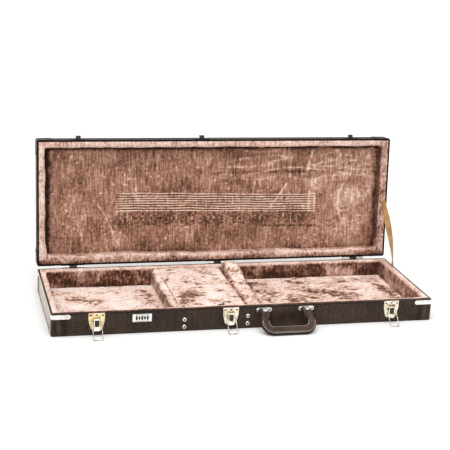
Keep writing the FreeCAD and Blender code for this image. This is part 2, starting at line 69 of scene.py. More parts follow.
HINGE = Vector(JOINTS["lid_hinge"]["pos_m"])
OPEN_DEG = -JOINTS["lid_hinge"]["range_deg"][0]
OPEN = (
    Matrix.Translation(HINGE)
    @ Matrix.Rotation(math.radians(-OPEN_DEG), 4, "X")
    @ Matrix.Translation(-HINGE)
)
SHUT = OPEN.inverted()

# the four upright corners: signs of x and y, and where their arc starts in half circles
QUARTERS = ((1, 1, 0.0), (-1, 1, 0.5), (-1, -1, 1.0), (1, -1, 1.5))
SIDES = ("front", "back", "left", "right")
LATCHES = ("left", "middle", "right")


def shut_box(node):
    """A lid node's lowest and highest corners as they are with the lid shut."""
    mesh = frame["nodes"][node].data
    corners = np.array([SHUT @ v.co for v in mesh.vertices])
    return Vector(corners.min(0)), Vector(corners.max(0))


# ---------------------------------------------------------------- smooth noise on arrays

def perlin(x, y, seed):
    """Gradient noise, about -0.7 to 0.7, one unit from bump to bump."""
    angles = np.random.default_rng(seed).uniform(0, 2 * math.pi, (256, 256))
    x0 = np.floor(x).astype(int)
    y0 = np.floor(y).astype(int)
    fx = x - x0
    fy = y - y0

    def corner(dx, dy):
        a = angles[(x0 + dx) % 256, (y0 + dy) % 256]
        return np.cos(a) * (fx - dx) + np.sin(a) * (fy - dy)

    u = fx * fx * fx * (fx * (fx * 6 - 15) + 10)
    v = fy * fy * fy * (fy * (fy * 6 - 15) + 10)
    low = corner(0, 0) * (1 - u) + corner(1, 0) * u
    high = corner(0, 1) * (1 - u) + corner(1, 1) * u
    return low * (1 - v) + high * v


def ridges(x, y, seed, sharp):
    """Thin creases: 1 on a winding line, falling to 0 on both sides."""
    return np.exp(-sharp * np.abs(perlin(x, y, seed)))


def smoothstep(low, high, value):
    t = np.clip((value - low) / (high - low), 0, 1)
    return t * t * (3 - 2 * t)


def hump(value, centre, width):
    """1 at the centre, falling to 0 at about a width away."""
    return np.exp(-(((value - centre) / width) ** 2))


def between(value, start, full, still, end):
    """0 before start, 1 from full to still, 0 after end, eased on both sides."""
    return smoothstep(start, full, value) * smoothstep(end, still, value)


def layered(x, y, seed, *layers):
    """Noise in layers, each given as (size along x, size along y, weight)."""
    total = 0
    for number, (wide, tall, weight) in enumerate(layers):
        total = total + perlin(x / wide, y / tall, seed + number) * weight
    return total


def near_line(x, y, start, end, width):
    """1 on the line from start to end, falling to 0 at about a width away."""
    ax, ay = start
    bx, by = end
    length = (bx - ax) ** 2 + (by - ay) ** 2
    t = np.clip(((x - ax) * (bx - ax) + (y - ay) * (by - ay)) / length, 0, 1)
    return hump(np.hypot(x - ax - t * (bx - ax), y - ay - t * (by - ay)), 0, width)


# ---------------------------------------------------------------- meshes

def new_object(name, data):
    thing = bpy.data.objects.new(name, data)
    bpy.context.scene.collection.objects.link(thing)
    return thing


def new_piece(name, points, faces):
    mesh = bpy.data.meshes.new(name)
    mesh.from_pydata([tuple(p) for p in points], [], [tuple(f) for f in faces])
    mesh.update()
    mesh.shade_smooth()
    piece = new_object(name, mesh)
    outward(piece)
    return piece


def outward(piece):
    """Turn every face to the outside."""
    bm = bmesh.new()
    bm.from_mesh(piece.data)
    bmesh.ops.recalc_face_normals(bm, faces=bm.faces)
    bm.to_mesh(piece.data)
    bm.free()


def vertex_vectors(piece, field):
    values = np.zeros(len(piece.data.vertices) * 3)
    piece.data.vertices.foreach_get(field, values)
    return values.reshape(-1, 3)


def points_of(piece):
    return vertex_vectors(piece, "co")


def normals_of(piece):
    return vertex_vectors(piece, "normal")


def set_points(piece, co):
    piece.data.vertices.foreach_set("co", np.ascontiguousarray(co, np.float32).ravel())
    piece.data.update()


def set_shade(piece, values):
    """Stores how dark the pile is painted at each vertex, from -1 for pale to 1 for deep: painted shade and light
    besides the pile's own crushed marks and patches.
    """
    values = np.broadcast_to(values, (len(piece.data.vertices),))
    attribute = piece.data.attributes.get("shade")
    if attribute is None:
        attribute = piece.data.attributes.new("shade", "FLOAT", "POINT")
    attribute.data.foreach_set("value", np.ascontiguousarray(values, np.float32))


def apply_modifiers(piece):
    depsgraph = bpy.context.evaluated_depsgraph_get()
    mesh = bpy.data.meshes.new_from_object(piece.evaluated_get(depsgraph))
    piece.modifiers.clear()
    old = piece.data
    piece.data = mesh
    mesh.name = old.name
    mesh.shade_smooth()
    bpy.data.meshes.remove(old)


def subdivide(piece):
    modifier = piece.modifiers.new("Subdivision", "SUBSURF")
    modifier.levels = 1
    modifier.render_levels = 1
    apply_modifiers(piece)


def join(name, pieces):
    """One piece from several, all of one material."""
    bm = bmesh.new()
    for piece in pieces:
        bm.from_mesh(piece.data)
        bpy.data.objects.remove(piece)
    mesh = bpy.data.meshes.new(name)
    bm.to_mesh(mesh)
    bm.free()
    mesh.shade_smooth()
    joined = new_object(name, mesh)
    outward(joined)
    return joined


def loop_faces(rings, around, closed_rings=True):
    """Quads between consecutive rings of equally many points."""
    faces = []
    for i in range(rings if closed_rings else rings - 1):
        here = i * around
        there = (i + 1) % rings * around
        for j in range(around):
            after = (j + 1) % around
            faces.append((here + j, here + after, there + after, there + j))
    return faces


def tube_faces(rings, around):
    """The quads of a skin through open rings, and a cap at both ends."""
    caps = [tuple(range(around)), tuple(range((rings - 1) * around, rings * around))]
    return loop_faces(rings, around, closed_rings=False) + caps


def grid_faces(index):
    """The quads of a grid of point numbers."""
    corners = [index[:-1, :-1], index[1:, :-1], index[1:, 1:], index[:-1, 1:]]
    return np.stack(corners, -1).reshape(-1, 4)


def grid_border(index):
    """The point numbers once round the border of a grid."""
    return np.concatenate([index[:, 0], index[-1, 1:], index[-2::-1, -1], index[0, -2:0:-1]])


def oval(angle, side_power, face_power):
    """A point of a boxy oval of half width 1: the lower a power, the squarer that side."""
    across = math.cos(angle)
    up = math.sin(angle)
    return (
        math.copysign(abs(across) ** side_power, across),
        math.copysign(abs(up) ** face_power, up),
    )


def tube(name, sections):
    """A closed skin through sections of equally many points, capped at both ends."""
    points = [p for section in sections for p in section]
    return new_piece(name, points, tube_faces(len(sections), len(sections[0])))


def smooth_line(points, rounds=2):
    """Corner cutting that keeps both ends."""
    line = [np.array(p, float) for p in points]
    for _ in range(rounds):
        cut = [line[0]]
        for a, b in zip(line, line[1:]):
            cut += [a * 0.75 + b * 0.25, a * 0.25 + b * 0.75]
        line = cut + [line[-1]]
    return np.array(line)


def stations(low, high, step, edge):
    """Positions from low to high, closer together next to both ends."""
    near = [edge * f for f in (0.0, 0.08, 0.3, 0.62, 1.0)]
    count = max(2, int(round((high - low - 2 * edge) / step)) + 1)
    middle = np.linspace(low + edge, high - edge, count)[1:-1]
    return np.array([low + n for n in near] + list(middle) + [high - n for n in near[::-1]])


def pillow(name, low, high, step, edge, waist=0.3):
    """A closed pad between two corners with rounded edges, as an even net of quads.

    waist is the height of its widest line as a share of the pad's thickness.
    """
    xs = stations(low[0], high[0], step, edge)
    ys = stations(low[1], high[1], step, edge)
    x, y = np.meshgrid(xs, ys, indexing="ij")
    inside_x = np.minimum(x - low[0], high[0] - x)
    inside_y = np.minimum(y - low[1], high[1] - y)
    round_x = np.sqrt(1 - (1 - np.clip(inside_x / edge, 0, 1)) ** 2)
    round_y = np.sqrt(1 - (1 - np.clip(inside_y / edge, 0, 1)) ** 2)
    swell = round_x * round_y
    level = low[2] + (high[2] - low[2]) * waist
    top = np.stack([x, y, level + (high[2] - level) * swell], -1)
    bottom = np.stack([x, y, level - (level - low[2]) * swell], -1)
    n, m = x.shape
    over = np.arange(n * m).reshape(n, m)
    under = over.copy()
    under[1:-1, 1:-1] = n * m + np.arange((n - 2) * (m - 2)).reshape(n - 2, m - 2)
    points = np.concatenate([top.reshape(-1, 3), bottom[1:-1, 1:-1].reshape(-1, 3)])
    faces = np.concatenate([grid_faces(over), grid_faces(under)[:, ::-1]])
    return new_piece(name, points, faces.tolist())


def copy_of(node, name, voxel, shrink):
    """The node's shape as an even net, pulled in a little."""
    mesh = frame["nodes"][node].data.copy()
    mesh.materials.clear()
    piece = new_object(name, mesh)
    modifier = piece.modifiers.new("Remesh", "REMESH")
    modifier.mode = "VOXEL"
    modifier.voxel_size = voxel
    apply_modifiers(piece)
    set_points(piece, points_of(piece) - normals_of(piece) * shrink)
    return piece


# ---------------------------------------------------------------- cloth

CLOTH_FRAMES = 20
CLOTH_STIFFNESS = 8.0


def inflate(piece, pressure, cap, grow, sideways=1.0):
    """Swell the fabric with Cloth, holding every point within cap millimetres of its start.

    grow is how much wider the cloth is than its net, and sideways the share kept of the
    movement along the floor.
    """
    start = points_of(piece)
    cloth = piece.modifiers.new("Cloth", "CLOTH")
    settings = cloth.settings
    settings.quality = 4
    settings.mass = 0.3
    settings.tension_stiffness = CLOTH_STIFFNESS
    settings.compression_stiffness = CLOTH_STIFFNESS
    settings.shear_stiffness = CLOTH_STIFFNESS * 0.5
    settings.bending_stiffness = 0.3
    settings.use_pressure = True
    settings.uniform_pressure_force = pressure
    settings.shrink_min = -grow
    settings.effector_weights.gravity = 0.0
    cloth.collision_settings.use_collision = False
    cloth.point_cache.frame_start = 1
    cloth.point_cache.frame_end = CLOTH_FRAMES
    scene = bpy.context.scene
    for number in range(1, CLOTH_FRAMES + 1):
        scene.frame_set(number)
    apply_modifiers(piece)
    scene.frame_set(1)
    offset = points_of(piece) - start
    offset[:, :2] *= sideways
    length = np.linalg.norm(offset, axis=1, keepdims=True)
    offset *= np.minimum(1, cap * MM / np.maximum(length, 1e-9))
    set_points(piece, start + offset)


def hold_inside(piece, low, high):
    """Keep a pad between its neighbours."""
    set_points(piece, np.clip(points_of(piece), np.array(low), np.array(high)))


# ---------------------------------------------------------------- materials

class Finish:
    """A node material under construction."""

    def __init__(self, name, roughness, metallic=0.0):
        self.material = bpy.data.materials.new(name)
        self.material.use_nodes = True
        self.tree = self.material.node_tree
        self.shader = next(n for n in self.tree.nodes if n.type == "BSDF_PRINCIPLED")
        self.set("Roughness", roughness)
        self.set("Metallic", metallic)
        self.place = self.add("ShaderNodeTexCoord", "Object")

    def add(self, kind, output, sockets=None, **options):
        """One output of a new node, once its options are set and its sockets plugged."""
        node = self.tree.nodes.new(kind)
        for option, value in options.items():
            setattr(node, option, value)
        for socket, value in (sockets or {}).items():
            self.plug(value, node.inputs[socket])
        return node.outputs[output]

    def plug(self, source, socket):
        if isinstance(source, bpy.types.NodeSocket):
            self.tree.links.new(source, socket)
        else:
            socket.default_value = source

    def set(self, socket, value):
        self.plug(value, self.shader.inputs[socket])

    def noise(self, scale, detail=2.0, stretch=None, roughness=0.5):
        place = self.place
        if stretch:
            place = self.add("ShaderNodeMapping", "Vector", {"Vector": place, "Scale": stretch})
        sockets = {"Vector": place, "Scale": scale, "Detail": detail, "Roughness": roughness}
        return self.add("ShaderNodeTexNoise", "Fac", sockets)

    def cells(self, scale):
        return self.add("ShaderNodeTexVoronoi", "Distance", {"Vector": self.place, "Scale": scale})

    def attribute(self, name):
        return self.add("ShaderNodeAttribute", "Fac", attribute_name=name)

    def math(self, operation, a, b):
        return self.add("ShaderNodeMath", 0, {0: a, 1: b}, operation=operation)

    def total(self, terms, start=0.5):
        """start plus each (value, weight) taken about the value's middle of 0.5."""
        result = start
        for value, weight in terms:
            centred = self.math("SUBTRACT", value, 0.5)
            result = self.math("ADD", self.math("MULTIPLY", centred, weight), result)
        return result

    def ramp(self, value, stops):
        node = self.tree.nodes.new("ShaderNodeValToRGB")
        self.plug(value, node.inputs["Fac"])
        ramp = node.color_ramp
        while len(ramp.elements) < len(stops):
            ramp.elements.new(0.5)
        for element, (position, colour) in zip(ramp.elements, stops):
            element.position = position
            element.color = (*colour, 1.0)
        return node.outputs["Color"]

    def grey(self, value, low, high):
        """Value from 0 to 1 as a number from low to high."""
        sockets = {"Value": value, "To Min": low, "To Max": high}
        return self.add("ShaderNodeMapRange", "Result", sockets)

    def along(self, direction, start):
        """How far a point lies along a direction, less start."""
        sockets = {0: self.place, 1: tuple(direction)}
        length = self.add("ShaderNodeVectorMath", "Value", sockets, operation="DOT_PRODUCT")
        return self.math("SUBTRACT", length, start)

    def fade(self, value, at_zero, at_one):
        """0 to 1 as value goes between two numbers, eased at both ends."""
        rising = at_zero < at_one
        sockets = {
            "Value": value,
            "From Min": min(at_zero, at_one),
            "From Max": max(at_zero, at_one),
            "To Min": 0.0 if rising else 1.0,
            "To Max": 1.0 if rising else 0.0,
        }
        return self.add("ShaderNodeMapRange", "Result", sockets, interpolation_type="SMOOTHSTEP")

    def bump(self, height, strength, distance, under=None):
        sockets = {"Height": height, "Strength": strength, "Distance": distance}
        if under is not None:
            sockets["Normal"] = under
        return self.add("ShaderNodeBump", "Normal", sockets)


def plush(name, stops, weights, streak=(1, 1, 1)):
    """Long-pile plush: blotches where the pile lies over, speckle, streaks and the stored shade."""
    f = Finish(name, roughness=0.92)
    blotch = f.noise(22.0, 3.0)
    speckle = f.noise(125.0, 2.0, roughness=0.6)
    pile = f.noise(260.0, 2.0, stretch=streak)
    value = f.total([(blotch, weights[0]), (speckle, weights[1]), (pile, weights[2])])
    value = f.math("SUBTRACT", value, f.math("MULTIPLY", f.attribute("shade"), 0.5))
    f.set("Base Color", f.ramp(value, stops))
    deep = f.bump(blotch, 0.5, 0.004)
    tufts = f.bump(speckle, 0.8, 0.002, deep)
    f.set("Normal", f.bump(f.noise(900.0, 2.0, stretch=streak), 0.7, 0.0006, tufts))
    f.set("Sheen Weight", 0.18)
    f.set("Sheen Roughness", 0.5)
    f.set("Sheen Tint", (1.0, 0.78, 0.68, 1.0))
    f.set("Specular IOR Level", 0.15)
    return f.material


def vinyl(name, up, base, edges, gloss=1.0, pleats=False, bloom=0.0):
    """Grained vinyl on cloth: pebble bump, rubbed patches, darker bands at its turned edges at the foot and under
    the rim, and a painted highlight line just above the foot.

    up and base give a point's height above the foot of its half of the case, and edges the
    height of the foot's fold and of the rim's fold; bloom is the pale sheen at a glancing look.
    """
    f = Finish(name, roughness=0.5)
    rub = f.noise(11.0, 4.0)
    grain = f.cells(620.0)
    fleck = f.noise(240.0, 3.0)
    brushed = f.noise(150.0, 2.0, stretch=(1.0, 0.3, 0.12))
    height = f.along(up, base)
    foot = f.fade(height, edges[0] + 0.0014, edges[0] + 0.0002)
    rim = f.fade(height, edges[1] - 0.0034, edges[1] - 0.0014)
    # glint: a painted highlight line just above the dark band at the foot
    glint = f.math("MULTIPLY", f.fade(height, edges[0] + 0.0045, edges[0] + 0.0015), 0.22)
    value = f.total([(rub, 1.0), (fleck, 1.1), (grain, 0.3), (brushed, 0.6)], start=0.55)
    value = f.math("ADD", value, glint)
    value = f.math("SUBTRACT", value, f.math("MAXIMUM", foot, rim))
    # on the corner wraps the stored shade is painted shade beside the seam ridges and along the gathers
    if pleats:
        value = f.math("SUBTRACT", value, f.attribute("shade"))
    f.set("Base Color", f.ramp(value, VINYL))
    f.set("Roughness", f.grey(rub, 0.4, 0.64))
    folds = f.bump(fleck, 0.35, 0.0009)
    if pleats:
        folds = f.bump(f.noise(90.0, 3.0, stretch=(4.0, 4.0, 0.4)), 0.9, 0.0025, folds)
    f.set("Normal", f.bump(grain, 0.5, 0.0005, folds))
    f.set("Specular IOR Level", 0.08)
    f.set("Coat Weight", gloss)
    f.set("Coat Roughness", 0.22)
    f.set("Coat IOR", 1.22)
    f.set("Sheen Weight", bloom)
    f.set("Sheen Roughness", 0.25)
    f.set("Sheen Tint", (1.0, 0.88, 0.70, 1.0))
    return f.material


def metal(name, base, tarnish, roughness, brushed=(1, 1, 1)):
    """Plated sheet: worn tone, faint brushing and dents."""
    f = Finish(name, roughness=roughness, metallic=1.0)
    wear = f.noise(120.0, 4.0)
    lines = f.noise(900.0, 1.0, stretch=brushed)
    value = f.total([(wear, 1.2), (lines, 0.3)])
    f.set("Base Color", f.ramp(value, [(0.2, tarnish), (0.65, base)]))
    f.set("Roughness", f.grey(wear, roughness + 0.14, roughness - 0.06))
    dents = f.bump(wear, 0.25, 0.0006)
    f.set("Normal", f.bump(lines, 0.12, 0.0002, dents))
    return f.material


def enamel(name, base, stain):
    """Painted plate with a little dirt."""
    f = Finish(name, roughness=0.35)
    dirt = f.noise(160.0, 4.0)
    f.set("Base Color", f.ramp(dirt, [(0.25, stain), (0.5, base)]))
    f.set("Normal", f.bump(f.noise(500.0, 2.0), 0.15, 0.0003))
    return f.material


def leather(name, dark, light, roughness=0.5, grain=700.0):
    """Pored leather with rubbed patches, darker where the stored shade is high."""
    f = Finish(name, roughness=roughness)
    rub = f.noise(45.0, 4.0)
    pores = f.cells(grain)
    value = f.total([(rub, 1.0), (pores, 0.35), (f.noise(320.0, 2.0), 0.4)])
    value = f.math("SUBTRACT", value, f.attribute("shade"))
    black = tuple(c * 0.2 for c in dark)
    f.set("Base Color", f.ramp(value, [(0.0, black), (0.2, dark), (0.8, light)]))
    f.set("Roughness", f.grey(rub, roughness + 0.1, roughness - 0.1))
    f.set("Specular IOR Level", 0.2)
    f.set("Normal", f.bump(pores, 0.45, 0.0006, f.bump(rub, 0.3, 0.001)))
    return f.material


def plywood():
    """Plies showing at the edges and grain on the faces."""
    f = Finish("plywood", roughness=0.7)
    plies = f.noise(30.0, 3.0, stretch=(1.0, 1.0, 40.0))
    grain = f.noise(40.0, 4.0, stretch=(0.5, 8.0, 8.0))
    value = f.total([(plies, 0.6), (grain, 0.8)])
    f.set("Base Color", f.ramp(value, [(0.2, (0.24, 0.14, 0.07)), (0.8, (0.58, 0.4, 0.22))]))
    f.set("Normal", f.bump(grain, 0.4, 0.0006))
    return f.material


def thread(name, colour):
    """Twisted sewing thread."""
    f = Finish(name, roughness=0.7)
    twist = f.noise(1500.0, 2.0)
    darker = tuple(c * 0.6 for c in colour)
    f.set("Base Color", f.ramp(twist, [(0.3, darker), (0.6, colour)]))
    f.set("Normal", f.bump(twist, 0.6, 0.0003))
    return f.material


PALE = [
    (0.0, (0.10, 0.045, 0.026)),
    (0.18, (0.36, 0.19, 0.13)),
    (0.36, (0.68, 0.46, 0.37)),
    (0.55, (0.84, 0.67, 0.59)),
    (0.85, (0.95, 0.86, 0.82)),
]
RIM = [
    (0.0, (0.05, 0.02, 0.012)),
    (0.25, (0.20, 0.09, 0.055)),
    (0.5, (0.52, 0.31, 0.24)),
    (0.75, (0.80, 0.58, 0.50)),
    (1.0, (0.95, 0.80, 0.74)),
]
LID_PLUSH = [
    (0.0, (0.022, 0.013, 0.008)),
    (0.25, (0.13, 0.062, 0.038)),
    (0.5, (0.345, 0.172, 0.115)),
    (0.75, (0.60, 0.36, 0.27)),
    (1.0, (0.90, 0.68, 0.57)),
]
VINYL = [
    (0.0, (0.006, 0.005, 0.004)),
    (0.3, (0.017, 0.0095, 0.0065)),
    (0.95, (0.072, 0.042, 0.029)),
]
# the coverings' up direction, base height and two folds; the lid's first fold lies off its surface
TRAY_UP = (0.0, 0.0, 1.0)
TRAY_EDGES = (0.0022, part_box("tray_side_cover")[1].z)
LID_TOP = shut_box("lid_cover")[1].z
LID_UP = -Vector(SHUT[2][:3])
LID_BASE = SHUT[2][3] - LID_TOP
LID_EDGES = (-0.02, LID_TOP - shut_box("lid_cover")[0].z)
FINISHES = {
    "plush": plush("plush_pale", PALE, weights=(1.1, 1.2, 0.6)),
    "plush_rim": plush("plush_rim", RIM, streak=(1.0, 1.0, 0.2), weights=(0.8, 1.0, 0.9)),
    "plush_lid": plush(
        "plush_lid", LID_PLUSH, streak=(1.0, 0.2, 0.12), weights=(0.55, 0.75, 0.85)
    ),
    "vinyl": vinyl("vinyl_brown", TRAY_UP, 0.0, TRAY_EDGES, bloom=0.8),
    "corner_vinyl": vinyl("vinyl_corner", TRAY_UP, 0.0, TRAY_EDGES, pleats=True, bloom=0.8),
    "handle_leather": leather("handle_leather", (0.024, 0.014, 0.009), (0.088, 0.053, 0.037)),
    "strap_leather": leather(
        "strap_leather", (0.27, 0.13, 0.045), (0.58, 0.32, 0.125), roughness=0.55, grain=900.0
    ),
    "latch_metal": metal(
        "latch_brass", (0.99, 0.96, 0.84), (0.50, 0.36, 0.14), 0.2, brushed=(1.0, 1.0, 0.05)
    ),
    "bright_metal": metal(
        "bright_nickel", (0.95, 0.94, 0.92), (0.62, 0.58, 0.5), 0.2, brushed=(0.05, 1.0, 1.0)
    ),
    "dark_metal": metal("dark_steel", (0.10, 0.085, 0.075), (0.035, 0.03, 0.026), 0.4),
    "steel": metal("plain_steel", (0.62, 0.6, 0.57), (0.33, 0.31, 0.28), 0.3),
    "plywood": plywood(),
    # near-black: painted shade inside the rivets' hollows and the latch levers' webs
    "hollow": enamel("painted_shade_black", (0.010, 0.009, 0.008), (0.022, 0.018, 0.015)),
}


def finish_piece(piece, slot, material=None):
    """The slot's own finish on the whole piece, or another material that the slot stands for."""
    piece.data.materials.clear()
    piece.data.materials.append(material or FINISHES[slot])


def special_finishes():
    """The CAD nodes that look different from the rest of their slot, with their materials.

    The boards round the accessory compartment show the plush glued to them.
    """
    special = {
        "lid_cover": vinyl("vinyl_lid", LID_UP, LID_BASE, LID_EDGES, gloss=0.1),
        "nameplate": enamel("plate_enamel", (0.97, 0.96, 0.92), (0.70, 0.67, 0.60)),
        "hinge_tray_leaves": FINISHES["bright_metal"],
        "handle_brackets": FINISHES["bright_metal"],
        "handle_rings": FINISHES["dark_metal"],
        "latch_plate_left": metal("latch_gilt", (0.98, 0.83, 0.50), (0.55, 0.33, 0.09), 0.2),
    }
    wire = metal("bail_wire", (0.70, 0.69, 0.66), (0.13, 0.12, 0.10), 0.2)
    special.update({f"latch_bail_{side}": wire for side in LATCHES})
    lined = ("partition_left", "partition_right", "compartment_lid_board", "tray_bottom_panel")
    special.update({node: FINISHES["plush"] for node in lined})
    return special


def finish_cad_nodes():
    """Every CAD node that stays visible takes the finish of its slot in the record, or its own."""
    special = special_finishes()
    for part in frame["record"]["subparts"]:
        node = part["node"]
        finish_piece(frame["nodes"][node], part["material_slot"], special.get(node))


# ---------------------------------------------------------------- wall linings

RING_STEP = 5.0 * MM
INNER_CORNER = 6.0 * MM
OUTER_CORNER = 1.0 * MM


def ring_stations(inner, outer):
    """Places round four walls: the point on each face of the band, and the outward direction."""
    def station(sx, sy, arm):
        corner = np.array([sx, sy])
        a = corner * (np.array(inner) - INNER_CORNER) + arm * INNER_CORNER
        b = corner * (np.array(outer) - OUTER_CORNER) + arm * OUTER_CORNER
        return a, b, arm

    spots = []
    for number, (sx, sy, turn) in enumerate(QUARTERS):
        for k in range(7):
            angle = math.pi * (turn + k / 12)
            spots.append(station(sx, sy, np.array([math.cos(angle), math.sin(angle)])))
        last_a, last_b, arm = spots[-1]
        next_x, next_y, _ = QUARTERS[(number + 1) % 4]
        next_a, next_b, _ = station(next_x, next_y, arm)
        count = int(np.linalg.norm(next_a - last_a) / RING_STEP)
        for k in range(1, count):
            t = k / count
            spots.append((last_a + (next_a - last_a) * t, last_b + (next_b - last_b) * t, arm))
    return [np.array(part)[:, None, :] for part in zip(*spots)]


def lining_ring(name, inner, outer, profile, rise):
    """A padded band round the inside of four walls.

    inner and outer are the half sizes of the band's two faces, profile the section as
    (share of the way out, height), and rise(x, y, share, height) moves each point inwards and up.
    """
    section = smooth_line(profile)
    a, b, arm = ring_stations(inner, outer)
    share = section[:, 0][None, :, None]
    height = np.broadcast_to(section[:, 1][None, :], (len(a), len(section)))
    flat = a + (b - a) * share
    x, y = flat[..., 0], flat[..., 1]
    inwards, up = rise(x, y, np.broadcast_to(section[:, 0], x.shape), height)
    flat = flat - arm * (inwards * MM)[..., None]
    points = np.concatenate([flat, (height + up * MM)[..., None]], -1).reshape(-1, 3)
    piece = new_piece(name, points, loop_faces(len(a), len(section)))
    return piece, x.ravel(), y.ravel(), height.ravel()


WALL_X, WALL_Y = 0.5, 0.157


def along(x, y):
    """Distance along the nearest wall, the same from top to bottom of it.

    Each end wall is shifted by two metres, so that its noise is not that of the others.
    """
    on_end = np.abs(x) / WALL_X > np.abs(y) / WALL_Y
    return np.where(on_end, y + 2.0 * np.sign(x), x)


def make_tray_lining():
    """The plush of the tray's walls, rolled over their top edge."""
    low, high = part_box("tray_lining_front")
    inner_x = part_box("tray_lining_right")[0].x
    inner_y = -high.y
    outer_x, outer_y = high.x, -low.y
    floor, top = low.z, high.z
    board_y = -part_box("tray_front_board")[1].y
    inside = 1 - (outer_y - board_y) / (outer_y - inner_y)
    profile = [
        (0.0, floor), (-0.05, floor + 0.012), (-0.10, floor + 0.026), (-0.08, floor + 0.038),
        (0.0, top - 0.009), (0.10, top - 0.003), (0.28, top + 0.0001), (0.55, top + 0.0002),
        (0.8, top - 0.0002), (1.0, top - 0.0008), (1.0, top - 0.0019),
        (inside, top - 0.0021), (inside, floor),
    ]

    def rise(x, y, share, height):
        t = along(x, y)
        open_side = np.clip(1.2 - share / inside, 0, 1)
        tall = smoothstep(floor, floor + 0.01, height) * open_side
        folds = layered(t, height, 11, (0.034, 0.05, 2.6), (0.012, 0.03, 1.1))
        up = perlin(t / 0.045, share * 2, 13) * 0.9 * smoothstep(top - 0.02, top - 0.002, height)
        return folds * tall, np.minimum(up, 0.15)

    piece, x, y, height = lining_ring(
        "tray_wall_lining", (inner_x, inner_y), (outer_x, outer_y), profile, rise
    )
    t = along(x, y)
    # painted shade: the inner walls darken below the rolled top, and the top itself is painted paler, as lit from
    # above
    depth = smoothstep(top - 0.0015, top - 0.009, height)
    patches = layered(t, height, 14, (0.09, 0.05, 0.9), (0.022, 0.03, 0.5))
    patches = patches - near_line(x, height, (0.34, 0.03), (0.40, 0.03), 0.03) * 0.7
    # how dark each wall is painted: least on the right end wall, most on the back wall's right part beside the
    # cradle
    wall_facing_shade = np.where(x > 0.49, 0.28, 0.52) + 0.26 * smoothstep(-0.03, 0.04, x) * (y > 0.12)
    share = (-y - inner_y) / (outer_y - inner_y)
    # a painted shadow line along the outer edge of the front rim
    front = np.where(y < -0.14, -0.25 + 1.7 * smoothstep(0.42, 0.85, share), 0.0)
    set_shade(piece, depth * (wall_facing_shade + patches * 0.8) - (1 - depth) * 0.45 + front * (1 - depth))
    finish_piece(piece, "plush_rim")
    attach(piece, "tray")
    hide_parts(*[f"tray_lining_{side}" for side in SIDES])


def make_lid_lining():
    """The plush of the lid's walls, sagging a little along the hinge."""
    low, high = shut_box("lid_lining_front")
    inner_x = shut_box("lid_lining_right")[0].x
    inner_y = -high.y
    outer_x, outer_y = high.x, -low.y
    rim, base = low.z, high.z
    board_y = -shut_box("lid_front_board")[1].y
    inside = (board_y - inner_y) / (outer_y - inner_y)
    profile = [
        (0.0, base), (-0.04, base - 0.010), (-0.06, base - 0.018), (-0.03, base - 0.026),
        (0.06, rim + 0.0045), (0.2, rim + 0.0012), (0.45, rim + 0.0002), (0.75, rim + 0.0003),
        (1.0, rim + 0.0008), (1.0, rim + 0.0019), (inside, rim + 0.0021), (inside, base),
    ]

    def rise(x, y, share, height):
        t = along(x, y)
        open_side = np.clip(1.2 - share / inside, 0, 1)
        hinge_side = smoothstep(0.10, 0.15, y)
        folds = layered(t, height, 21, (0.05, 0.06, 2.2), (0.014, 0.03, 1.0))
        sag = 2.0 + perlin(t / 0.11, 0.3 + 0 * t, 23) * 5.0 + 4.0 * smoothstep(0.1, -0.45, x)
        up = perlin(t / 0.04, share * 2, 24) * 0.8 * smoothstep(rim + 0.02, rim + 0.002, height)
        return (folds + sag * hinge_side) * open_side, np.maximum(up, -0.1)

    piece, x, y, height = lining_ring(
        "lid_wall_lining", (inner_x, inner_y), (outer_x, outer_y), profile, rise
    )
    t = along(x, y)
    # painted shade: the inner walls darken away from the rim, except along the hinge
    depth = smoothstep(rim + 0.004, rim + 0.02, height)
    patches = layered(t, height, 25, (0.08, 0.04, 0.8), (0.02, 0.03, 0.6))
    hinge_side = smoothstep(0.10, 0.15, y)
    deep = 0.9 - 0.9 * hinge_side
    share = np.clip((y - inner_y) / (outer_y - inner_y), 0, 1)
    # across the hinge-side rim painted paler at its inner edge and darker at its outer one; the rim's right end
    # painted darker
    lower = smoothstep(inner_y - 0.002, inner_y + 0.002, y) * (share - 0.35) * 0.9
    right = 0.3 * smoothstep(0.49, 0.50, x)
    # the rim's top painted pale, as lit, with random patches
    rim_tone = -0.35 + 0.2 * hinge_side + patches * (0.35 + 0.45 * hinge_side) + right + lower
    set_shade(piece, depth * (deep + patches * 0.6) + (1 - depth) * rim_tone)
    piece.data.transform(OPEN)
    finish_piece(piece, "plush_rim")
    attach(piece, "lid")
    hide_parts(*[f"lid_lining_{side}" for side in SIDES])


# ---------------------------------------------------------------- lid panel

STRING_COUNT = 8
STRING_LOW, STRING_HIGH = 0.152, 0.202
STRING_LEFT, STRING_RIGHT = -0.292, 0.298
# creases in the pile: from, to (each as x and distance from the hinge) and width
PANEL_CREASES = (
    ((-0.345, 0.172), (-0.310, 0.107), 0.0022), ((-0.310, 0.107), (-0.286, 0.048), 0.0022),
    ((0.215, 0.225), (0.166, 0.154), 0.0026), ((0.292, 0.325), (0.279, 0.262), 0.0028),
)
PANEL_STEP = 0.0034
MARKED_STEP = 0.00125
MARKED_LOW, MARKED_HIGH = 0.096, 0.214


def string_marks(x, s):
    """Rows pressed in by strings, from -1 to 1, and the strip that they cover."""
    pitch = (STRING_HIGH - STRING_LOW) / (STRING_COUNT - 1)
    slope = s + 0.010 * smoothstep(-0.3, 0.3, x) + 0.0022 * perlin(x / 0.05, s / 0.03, 46)
    strip = between(slope, STRING_LOW - 0.004, STRING_LOW, STRING_HIGH, STRING_HIGH + 0.004)
    strip = strip * between(
        x, STRING_LEFT - 0.012, STRING_LEFT + 0.02, STRING_RIGHT, STRING_RIGHT + 0.012
    )
    faint = 0.78 + 0.9 * perlin(x / 0.03, s / 0.02, 31) + 0.8 * perlin(x / 0.009, s / 0.007, 45)
    strings = np.cos(2 * math.pi * (slope - STRING_LOW) / pitch) * strip * faint
    return strings, strip


